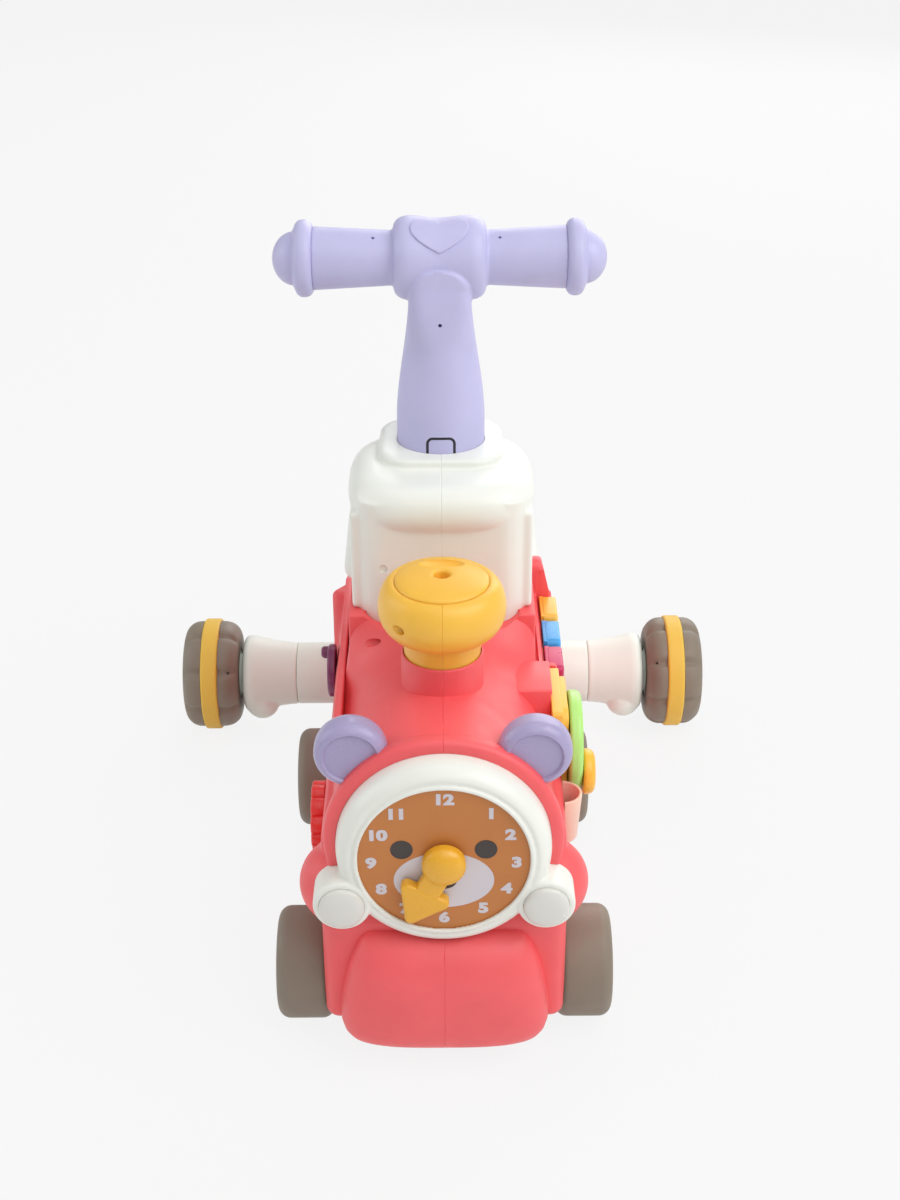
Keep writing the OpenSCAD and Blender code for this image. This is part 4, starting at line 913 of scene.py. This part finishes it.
# %% Chimney
BELLY_R = 40.2
BELLY_Z = 284
MUSHROOM_LOW = 265
UNDER_R = 22
CAP_Z = 302
CAP_R = 29.5
CAP_SEAT_R = CAP_R + 1
under = oval_arc(UNDER_R, BELLY_Z, BELLY_R - UNDER_R, MUSHROOM_LOW - BELLY_Z, 78, 0, 13)
over = oval_arc(CAP_SEAT_R, BELLY_Z, BELLY_R - CAP_SEAT_R, CAP_Z - BELLY_Z, 6, 90, 14)
chimney = turned([(0, 217), (27, 217), (27, 220), (NECK_R, 220), (NECK_R, 254), (25.3, MUSHROOM_LOW),
                  *under, *over, (CAP_R + 0.25, CAP_Z - 0.3), (CAP_R + 0.1, 298), (0, 298)], 144)
moved(chimney, 0, at(CHIMNEY_AT), 0)
screw_well = rod(-1, 14, 60, 3.1, 14.3, BELLY_Z)
side_halves("chimney_shell", cut(chimney, screw_well), "chimney", "chimney_yellow", "chimney")

# %% Chimney cap
PEG_HOLE_R = 5
PEG_LIP_Z = 304.9
cap_dome = oval_arc(0, CAP_Z + 0.15, CAP_R, 5, 84, 6, 13)
cap = turned([(0, 295.15), (PEG_HOLE_R, 295.15), (PEG_HOLE_R, PEG_LIP_Z),
              *arc(PEG_HOLE_R + 2.1, PEG_LIP_Z, 2.1, 180, 94, 5), *[p for p in cap_dome if p[0] > 8],
              (CAP_R, CAP_Z - 0.2), (CAP_R - 0.1, 298.2), (7.5, 298.2), (7.5, 293), (0, 293)], 144)
scoop = ball(1)
bmesh.ops.scale(scoop, vec=(15, 6.4, 6), verts=scoop.verts)
cap = moved(cut(cap, moved(scoop, 0, 15, 307.2)), 0, at(CHIMNEY_AT), 0)
piece("cap_shell", cap, "chimney", "chimney_yellow", ["chimney_cap"])

# %% [markdown]
# ## Cab and seat
# Two white halves make the cab: straight walls, a pillow of a roof and a collar for the handle.
# The roof is a loft whose rings follow a half circle in height, which gives it a full round edge.
# The seat behind it is a loft along the train, softened by a melt.

# %% Cab
ROOF_HALF_W = 62
ROOF_HALF_L = 55
ROOF_TOP = 330
ROOF_EDGE = 16
ROOF_CROWN = 1.2
ROOF_POWER = 3.2
ROOF_MIDDLE = 104 + ROOF_HALF_L
COLLAR_TOP = 337
COLLAR_H = 19
LEAN = math.radians(10)
HUB = Vector((0, at(202), 456))
IN_HANDLE = Matrix.Translation(HUB) @ Matrix.Rotation(-LEAN, 4, "X")
COLUMN_L = (HUB.z - COLLAR_TOP) / math.cos(LEAN)


def roof_ring(angle):
    """One level ring of the roof, further in towards its top and bottom."""
    inward = ROOF_EDGE * (1 - math.cos(angle))
    height = ROOF_TOP - ROOF_EDGE + ROOF_EDGE * math.sin(angle) + ROOF_CROWN * max(0.0, math.sin(angle))

    def place(x, y):
        return ((ROOF_HALF_W - inward) * squared(x, ROOF_POWER),
                at(ROOF_MIDDLE) + (ROOF_HALF_L - inward) * squared(y, ROOF_POWER), height)
    return place


def column_ring(half_w, half_d, height, power=2):
    """One oval or squarish ring across the handle's column, in the handle's own frame."""
    return lambda x, y: (half_w * squared(x, power), half_d * squared(y, power), height)


def in_handle(bm):
    """Moves a shape from the handle's own frame, which leans, to its place on the train."""
    bmesh.ops.transform(bm, matrix=IN_HANDLE, verts=bm.verts)
    return bm


walls = moved(plate(round_rect(CAB_W, CAB_L, CAB_CORNER), 150, 1, 1), 0, at(CAB_AT), CAB_LOW)
roof = lofted([roof_ring(math.radians(15 * i - 90)) for i in range(13)], 96)
collar = moved(plate(round_rect(83, 74, 22, 10), COLLAR_H, 0, 2.5), 0, at(180.3), COLLAR_TOP - COLLAR_H)
cab_forms = [walls, roof, collar]
for side in (-1, 1):
    # The cab is wider above the kerb
    x_low, x_high = sorted((side * 50, side * 60))
    cab_forms.append(block((x_low, at(117), KERB_TOP + 0.3), (x_high, at(200), 312), 2))
socket = in_handle(lofted([column_ring(29.85, 26.35, rise - COLUMN_L) for rise in (-42, 30)], 80))
wall_screw = bore(104, 111.4, SCREW_R, -38.5, 275)
side_halves("cab_shell", cut(melted(cab_forms, 1.2, 4), socket, wall_screw), "train", "white_shell", "cab")

# %% Seat
SEAT_FRONT = 210.6
SEAT_L = 170
SEAT_LOW = 185.6
SEAT_STEPS = 28


def seat_ring(share):
    """One upright ring across the seat; its lower half lies flat on the deck."""
    end = (1 - abs(2 * share - 1) ** 6) ** 0.25
    half_width = 38 + (24 + 12 * ease((share - 0.2) / 0.15)) * end
    height = 6 + (23 - 5 * math.sin(math.pi * share) + 14 * ease((share - 0.55) / 0.45)) * end

    def place(x, y):
        rise = height * max(0.0, y) ** 0.55
        return (half_width * math.copysign(abs(x) ** 0.7, x), at(SEAT_FRONT + SEAT_L * share),
                SEAT_LOW + rise)
    return place


seat = lofted([seat_ring(step / SEAT_STEPS) for step in range(SEAT_STEPS + 1)], 72)
piece("seat_shell", melted([seat], 1.7, 5), "train", "white_shell", ["seat"])

# %% [markdown]
# ## Handle
# The lavender T is moulded as a front and a rear half. A drum-shaped hub joins two tapered grips,
# and the column swells towards the cab. A plain heart stands out of the hub: its outline is a
# flat plate first, which is then wrapped round the drum.

# %% Heart
HUB_R = 27.2
HUB_SADDLE = 1.5
HEART_CENTRE = math.radians(41)
HEART_TIP = (0, -13)
HEART_BEND = (15.2, -5.3)
HEART_T = 4
HEART_PROUD = 1.3


def hub_radius(x):
    """The hub is a little slimmer in its middle."""
    return HUB_R - HUB_SADDLE + HUB_SADDLE * ease(abs(x) / 20)


def wrapped(bm, middle):
    """Wraps a flat plate round the hub, with its middle at an angle above the front."""
    for vert in bm.verts:
        angle = middle + vert.co.y / HUB_R
        out = hub_radius(vert.co.x) + vert.co.z
        vert.co = (vert.co.x, -out * math.cos(angle), out * math.sin(angle))
    return bm


def bent(start, bend, stop, share):
    """Point on a curve from start to stop that is drawn towards a bend."""
    return tuple((1 - share) ** 2 * a + 2 * share * (1 - share) * b + share * share * c
                 for a, b, c in zip(start, bend, stop))


def heart_outline():
    """A round lobe on each side, and a full curve from each lobe to the tip."""
    lobe = arc(9, 4.8, 9.9, 153, -25, 14)
    right = lobe + [bent(lobe[-1], HEART_BEND, HEART_TIP, step / 10) for step in range(1, 10)]
    return [HEART_TIP] + right[::-1] + [(-x, y) for x, y in right]


heart_plate = moved(plate(heart_outline(), HEART_T, 0, 0.7, 4), 0, 0, HEART_PROUD - HEART_T)
for row in range(-10, 11):
    sliced(heart_plate, (0, 1.5 * row, 0), (0, 1, 0), clear=False)
    sliced(heart_plate, (1.9 * row, 0, 0), (1, 0, 0), clear=False)
heart = in_handle(wrapped(heart_plate, HEART_CENTRE))
print("heart faces:", len(heart.faces))

# %% Hub, grips and column
BAR_HALF = 82.5
SHOULDER_R = 17.9
# Heights of the column's rings, in the handle's own frame
LEVELS = [-COLUMN_L - 38, -COLUMN_L, *[-COLUMN_L + 14 + 6 * i for i in range(16)]]
ARCH_Z = -18
ARCH_H = 13
ARCH_HALF_W = 20.5

shoulder = oval_arc(SHOULDER_R, 19.8, HUB_R - SHOULDER_R, 10.5, 0, 82.5, 11, 0.75)
half_bar = [*[(hub_radius(x), x) for x in range(0, 20, 4)], *shoulder, (17.8, 30.8), (20.5, BAR_HALF)]
bar_profile = [(0, -BAR_HALF), *[(r, -x) for r, x in reversed(half_bar)], *half_bar[1:], (0, BAR_HALF)]
bar = placed(turned(bar_profile), to_side(1), 0, 0, 0)


def column_shape(height):
    """Half width, half depth and squareness of the column at a height below the hub."""
    share = ease((-height - 20) / (COLUMN_L - 34))
    top = ease((height + 62) / 42)
    return 20.5 + 9 * share, 24 + 2 * share + 3 * top, 2 + 3.5 * top


def arch_ring(angle):
    """One ring of the column's top, which is round in front view and stays at nearly one depth."""
    share = math.sin(angle)
    return column_ring(ARCH_HALF_W * math.cos(angle), 27 + 1.6 * share, ARCH_Z + ARCH_H * share,
                       5.5 + 7 * share)


def column_form(inset=0.0):
    """The column, or one that is smaller all round, with a round top that lies on the hub."""
    below = [(*column_shape(level), level) for level in LEVELS if level < ARCH_Z - 2]
    rings = [column_ring(a - inset, b - inset, level, power) for a, b, power, level in below]
    return lofted(rings + [arch_ring(math.radians(angle)) for angle in range(0, 88, 6)], 144)


handle = melted([bar, column_form()], 0.75, 2)
print("handle faces:", len(handle.faces))

# %% Button opening, pin holes and halves
BUTTON_Z = 3 - COLUMN_L - 26 * math.tan(LEAN)
BUTTON_W = 16.3
BUTTON_H = 13
BUTTON_GAP = 1.7
PIN_R = 1.1


def pin_hole(x, angle, radius):
    """Small round tool that points at the bar's axis."""
    tool = cylinder(PIN_R, radius - 2, radius + 4, 24)
    return placed(tool, Matrix.Rotation(math.radians(90 - angle), 4, "X"), x, 0, 0)


def through_front(rim, radius):
    """Tool with round corners through the column's front, larger than the button by a rim."""
    outline = round_rect(BUTTON_W + 2 * rim, BUTTON_H + 2 * rim, radius, 8)
    return placed(plate(outline, 30), TO_FRONT, 0, -14, BUTTON_Z)


column_pin = placed(cylinder(1.2, 20, 32, 24), TO_FRONT, 0, 0, -40)
pin_holes = [pin_hole(-43, 52, 17.8), pin_hole(39, 52, 17.6), column_pin]
handle = in_handle(cut(handle, through_front(BUTTON_GAP, 4.6), *pin_holes))
rear_way = IN_HANDLE.to_3x3() @ Vector((0, 1, 0))
front_half = joined([half_of(handle, HUB, -rear_way), heart])
piece("handle_shell_front", front_half, "handle", "handle_lavender", ["handle_front"])
piece("handle_shell_rear", half_of(handle, HUB, rear_way), "handle", "handle_lavender", ["handle_rear"])
handle.free()

# %% Release button, and a black liner that paints the shade in its gap
behind = (0, -19.5, 0), (0, -1, 0)
button = trimmed(common(column_form(0.05), through_front(-0.1, 2.9)), *behind)
piece("button_shell", in_handle(button), "release_button", "handle_lavender", ["handle_button"])
# A thin black liner inside the opening is painted shade that darkens the gap round the button
gap_shade_liner = common(column_form(0.3), through_front(BUTTON_GAP - 0.05, 4.5))
gap_shade_liner = trimmed(cut(gap_shade_liner, through_front(0, 3)), *behind)
piece("button_gap_painted_shade", in_handle(gap_shade_liner), "handle", "black_plastic")

# %% Grip ends
END_R = 25
END_EDGE = 5.4
END_BALL_X = 12
END_BALL_H = 14.8
end_profile = [(0, -12), (17, -12), (17, 0), *arc(END_R - END_EDGE, END_EDGE, END_EDGE, -90, 0),
               *arc(END_R - END_EDGE, 6.6, END_EDGE, 0, 78),
               *oval_arc(0, END_BALL_X, 17.5, END_BALL_H, 6, 84, 13), (0, END_BALL_X + END_BALL_H)]
for name, side in SIDES:
    end = placed(turned(end_profile), to_side(side), side * (BAR_HALF + 0.02), 0, 0)
    piece(f"grip_end_shell_{name}", in_handle(end), "handle", "handle_lavender", [f"grip_end_{name}"])

# %% [markdown]
# ## Legs
# A straight cream sleeve leaves the body and a boot takes the rear wheel. The boot swells towards
# the wheel and has a round heel in front and below, so it is melted from a loft and two balls.

# %% Legs
SLEEVE_R = 25.5
SLEEVE_T = 2.5
SLEEVE_X = 62
SEAM_X = 120
# Distance past the seam and radius of each ring of a boot
BOOT_RINGS = ((0.1, 25.1), (0.7, 25.7), (6, 26), (14, 27), (22, 28.4), (30, 30.2), (36, 31.8),
              (40, 32.2), (42.8, 31), (44.4, 28.6), (45, 25))
# Place and radius of the two balls of a heel
HEEL_BALLS = ((150, -16, -18, 14), (140, -6, -10, 16))


def boot_ring(x, radius):
    """One upright, round ring of a boot."""
    return lambda u, v: (x, radius * u, radius * v)


for name, side in SIDES:
    sleeve = turned([(SLEEVE_R - SLEEVE_T, SLEEVE_X), (SLEEVE_R, SLEEVE_X),
                     *arc(SLEEVE_R - 0.8, SEAM_X - 0.8, 0.8, 0, 90, 4), (SLEEVE_R - SLEEVE_T, SEAM_X)],
                    ring=True)
    placed(sleeve, to_side(side), 0, at(REAR_AXLE), REAR_R)
    piece(f"sleeve_shell_{name}", sleeve, "train", "cream_shell", [f"leg_sleeve_{name}"])
    shank = lofted([boot_ring(side * (SEAM_X + past), radius) for past, radius in BOOT_RINGS], 72)
    heel = [moved(ball(radius, 40), side * x, y, z) for x, y, z, radius in HEEL_BALLS]
    boot = moved(melted([shank, *heel], 0.8, 6), 0, at(REAR_AXLE), REAR_R)
    piece(f"boot_shell_{name}", boot, "train", "cream_shell", [f"leg_boot_{name}"])

# %% [markdown]
# ## Wheels
# The small wheels are plain turned drums with a dished face. The rear tyres have eight lobes with
# cross grooves: the ring is turned first, and then each vertex is drawn in by its distance, round
# the wheel, from the nearest groove. A soft yellow band sits in the middle of the tread.

# %% Small wheels
HOLE_R = 3.06
WHEEL_X = 73
wheel_profile = [(HOLE_R, 0), (9, 0), (9, 19), (28.5, 19), (28.5, 0.6), *arc(29, 8, 8, -90, 0),
                 *arc(29, 29, 8, 0, 90), (27, 37), (25.6, 36.4), (25, 35), (24, 34), (10.5, 34),
                 (9.4, 33.4), (9, 32), (9, 29), (HOLE_R, 29)]
for place_name, axle in (("front", 0), ("middle", MIDDLE_AXLE)):
    for name, side in SIDES:
        wheel = placed(turned(wheel_profile, ring=True), to_side(side), side * WHEEL_X, at(axle), WHEEL_R)
        piece(f"{place_name}_drum_{name}", wheel, f"{place_name}_wheel_{name}", "wheel_taupe",
              [f"{place_name}_wheel_{name}"])

# %% Rear wheels
LOBES = 8
LOBE_TURN = math.tau / LOBES
LOBE_RISE = 0.7
GROOVE_DEPTH = 2.6
GROOVE_WIDTH = 0.075
TREAD_FROM = 33
TREAD_BLEND = 8
TYRE_X = 168
TYRE_R = 44.7
BAND_SEAT_R = 39.7
BAND_LOW_R = BAND_SEAT_R + 0.15
BAND_W = 13.5
PIN_X = 175
# How far the topmost groove of each tyre is turned to the front, in degrees, as it stands in the photo
TYRE_TURN = {"left": 13.4, "right": 5.3}
tyre_profile = [(20.15, 0), *arc(TYRE_R - 13, 13, 13, -90, 0, 12), (TYRE_R, 15.55), (BAND_SEAT_R, 15.55),
                (BAND_SEAT_R, 29.45), (TYRE_R, 29.45), *arc(TYRE_R - 13, 32, 13, 0, 90, 12), (30.2, 45),
                (29.2, 44.4), (28.8, 43), (28, 41), (20.15, 41)]
band_profile = [(BAND_LOW_R, 0), *arc(44, 2, 2, -90, 0), *arc(44, BAND_W - 2, 2, 0, 90),
                (BAND_LOW_R, BAND_W)]
for name, side in SIDES:
    tyre = turned(tyre_profile, 320, ring=True)
    for vert in tyre.verts:
        radius = math.hypot(vert.co.x, vert.co.y)
        round_it = math.atan2(vert.co.y, vert.co.x)
        past_groove = (round_it - side * math.radians(TYRE_TURN[name])) % LOBE_TURN
        nearest = min(past_groove, LOBE_TURN - past_groove)
        crown = LOBE_RISE * (1 - math.cos(LOBES * nearest)) / 2
        fade = ease((radius - TREAD_FROM) / TREAD_BLEND)
        drawn_in = fade * (GROOVE_DEPTH * math.exp(-(nearest / GROOVE_WIDTH) ** 2) + LOBE_RISE - crown)
        vert.co.xy *= (radius - drawn_in) / radius
    placed(tyre, to_side(side), side * TYRE_X, at(REAR_AXLE), REAR_R)
    pin_turn = Matrix.Rotation(math.radians(45 + TYRE_TURN[name]), 4, "X")
    pin = placed(cylinder(PIN_R, 36, 60, 24), pin_turn, side * PIN_X, at(REAR_AXLE), REAR_R)
    piece(f"tyre_{name}", cut(tyre, pin), f"rear_wheel_{name}", "wheel_taupe", [f"rear_tyre_{name}"])
    band = turned(band_profile, 160, ring=True)
    placed(band, to_side(side), side * (TYRE_X + 15.75), at(REAR_AXLE), REAR_R)
    piece(f"grip_band_{name}", band, f"rear_wheel_{name}", "band_yellow", [f"rear_band_{name}"])

# %% [markdown]
# ## Side toys
# On the right are three keys, a plate with a domed crank wheel and its knob, and a half cup. On the
# left are a scalloped gear and a dial with a finger peg. They are small flat mouldings, so each is
# an outline with rounded rims, or a turned puck.

# %% Keys
KEY_X = 72.2
KEY_T = 9.8
TONGUE_HALF = 14.5
for name, key_at in zip(("magenta", "blue", "yellow"), KEY_AT):
    key = placed(plate(round_rect(KEY_H, KEY_L, 4), KEY_T, 0.2, 2, 5), to_side(1), KEY_X, at(key_at), KEY_Z)
    # A tongue along the top closes the gap to the rim, and clears the pad when the key is pressed
    tongue = block((69.9, at(key_at) - TONGUE_HALF, 197.6), (73, at(key_at) + TONGUE_HALF, 202.6), 0.4)
    piece(f"key_shell_{name}", joined([key, tongue]), f"key_{name}", f"toy_{name}", [f"key_{name}"])

# %% Plate, crank wheel and knob
base = plate(round_rect(PLATE_H, PLATE_L, 3), 7.1, 0.3, 1)
upper = moved(plate(round_rect(PLATE_H - 4, PLATE_L - 4, 10), 8, 0.3, 1.6), 0, 0, 3.1)
crank_plate = placed(joined([base, upper]), to_side(1), PLATE_X, at(PLATE_AT), PLATE_Z)
piece("crank_plate_shell", crank_plate, "train", "toy_yellow", ["crank_plate"])
crank_profile = [(HOLE_R, 0), *arc(31, 2, 2, -90, 0), *arc(28.5, 4.6, 4.5, 0, 60), (24, 8.6), (14, 9),
                 (9, 8.9), (7.6, 8.3), (7, 7.2), (7, 5.5), (HOLE_R, 5.5)]
crank = placed(turned(crank_profile, ring=True), to_side(1), 82.1, at(60), 173)
piece("crank_disc", crank, "crank", "toy_green", ["crank_wheel"])
knob = placed(puck(15, 8, 2, 5), to_side(1), 91.2, at(42), 160)
piece("crank_knob_shell", knob, "crank", "toy_orange", ["crank_knob"])

# %% Cup, gear and finger dial
LEFT_X = -78.1
CUP_X = 76.55
SCALLOP_STEPS = 160
cup = turned([(0, 0), *arc(6, 5, 5, -90, -20), *arc(12.2, 35.2, 0.8, -10, 90, 4),
              *arc(11.6, 35.4, 0.6, 90, 180, 3), (8.4, 5), *arc(6.4, 5, 2, 0, -90, 4), (0, 3)])
cup = trimmed(moved(cup, CUP_X, at(19), 124), (CUP_X + 1, 0, 0), (1, 0, 0))
piece("cup_shell", cup, "train", "toy_peach", ["side_cup"])
turns = [math.tau * step / SCALLOP_STEPS for step in range(SCALLOP_STEPS)]
scallops = [(20.4 + 3.1 * abs(math.cos(5 * turn)) ** 0.7, turn) for turn in turns]
gear = plate([(r * math.cos(turn), r * math.sin(turn)) for r, turn in scallops], 9, 0.5, 1.5)
gear_hole = turned([(0, -5), (HOLE_R, -5), (HOLE_R, 5.5), (7, 5.5), (7, 20), (0, 20)], 48)
gear = placed(cut(gear, gear_hole), to_side(-1), LEFT_X, at(44), 124)
piece("gear_shell", gear, "gear", "toy_red", ["gear_red"])
dial = turned([(HOLE_R, 0), *arc(18.5, 1, 1, -90, 0), *arc(17, 3.5, 2.5, 0, 90), (8, 6), (7.2, 5.6), (7, 5),
               (7, 2.5), (HOLE_R, 2.5)], ring=True)
peg = moved(puck(4.5, 8, 0.2, 2.5, 48), 12, 6, 3)
finger_dial = placed(joined([dial, peg]), to_side(-1), LEFT_X, at(200), 142)
piece("finger_dial_shell", finger_dial, "purple_dial", "toy_purple", ["spin_dial"])

# %% [markdown]
# ## Stage and light
# The photograph is a catalogue shot: a pale ground, soft light from above, from the front and from
# the right, a weaker one from the left, and hardly a shadow. A lamp behind on the right gives the
# pale sheen on the right flanks, and an even pale world fills the rest. The levels are set so that
# a colour renders about as it is written.

# %% Floor
FLOOR_HALF = 40
FLOOR_GLOW = 0.92
floor_mesh = bpy.data.meshes.new("floor")
floor_bm = bmesh.new()
bmesh.ops.create_grid(floor_bm, x_segments=1, y_segments=1, size=FLOOR_HALF)
floor_bm.to_mesh(floor_mesh)
floor_bm.free()
floor = bpy.data.objects.new("floor", floor_mesh)
bpy.context.scene.collection.objects.link(floor)
floor_finish, paper = new_material("paper_sweep")
matt = add_node(paper, "ShaderNodeBsdfDiffuse", {"Color": linear("#F4F4F4")})
glow = add_node(paper, "ShaderNodeEmission", {"Color": linear("#F8F8F8"), "Strength": 1.0})
path = add_node(paper, "ShaderNodeLightPath")
# What the camera and reflections see of the floor glows, so that it stays pale everywhere
seen = add_node(paper, "ShaderNodeMath", {"operation": "MAXIMUM"},
                {0: path.outputs["Is Camera Ray"], 1: path.outputs["Is Glossy Ray"]})
share = add_node(paper, "ShaderNodeMath", {"operation": "MULTIPLY"}, {0: seen.outputs["Value"]})
share.inputs[1].default_value = FLOOR_GLOW
mix = add_node(paper, "ShaderNodeMixShader", {},
               {"Fac": share.outputs["Value"], 1: matt.outputs["BSDF"], 2: glow.outputs["Emission"]})
add_node(paper, "ShaderNodeOutputMaterial", {}, {"Surface": mix.outputs["Shader"]})
floor_mesh.materials.append(floor_finish)
print("floor:", 2 * FLOOR_HALF, "m wide")

# %% World and lamps
WORLD_LIGHT = 0.42
AIM = Vector((0, 0, 0.2))
# Place and width in metres, and power in watts, of each square lamp
LAMPS = {
    "right_lamp": ((1.4, -0.7, 1.6), 1.4, 20),
    "back_lamp": ((0.8, 2.3, 1.3), 2.0, 30),
    "top_lamp": ((0.2, -0.2, 2.2), 1.6, 7),
    "front_lamp": ((0.4, -1.6, 1.9), 1.6, 9),
    "left_lamp": ((-1.7, 0.1, 0.9), 1.2, 7),
}
world = bpy.data.worlds.new("studio")
world.use_nodes = True
background = world.node_tree.nodes["Background"]
background.inputs["Color"].default_value = linear("#FFFFFF")
background.inputs["Strength"].default_value = WORLD_LIGHT
bpy.context.scene.world = world
for name, (place, width, power) in LAMPS.items():
    light = bpy.data.lights.new(name, "AREA")
    light.size = width
    light.energy = power
    lamp = bpy.data.objects.new(name, light)
    lamp.location = place
    lamp.rotation_euler = (AIM - Vector(place)).to_track_quat("-Z", "Y").to_euler()
    bpy.context.scene.collection.objects.link(lamp)
bpy.context.scene.view_settings.view_transform = "Standard"
print("lamps:", len(LAMPS))
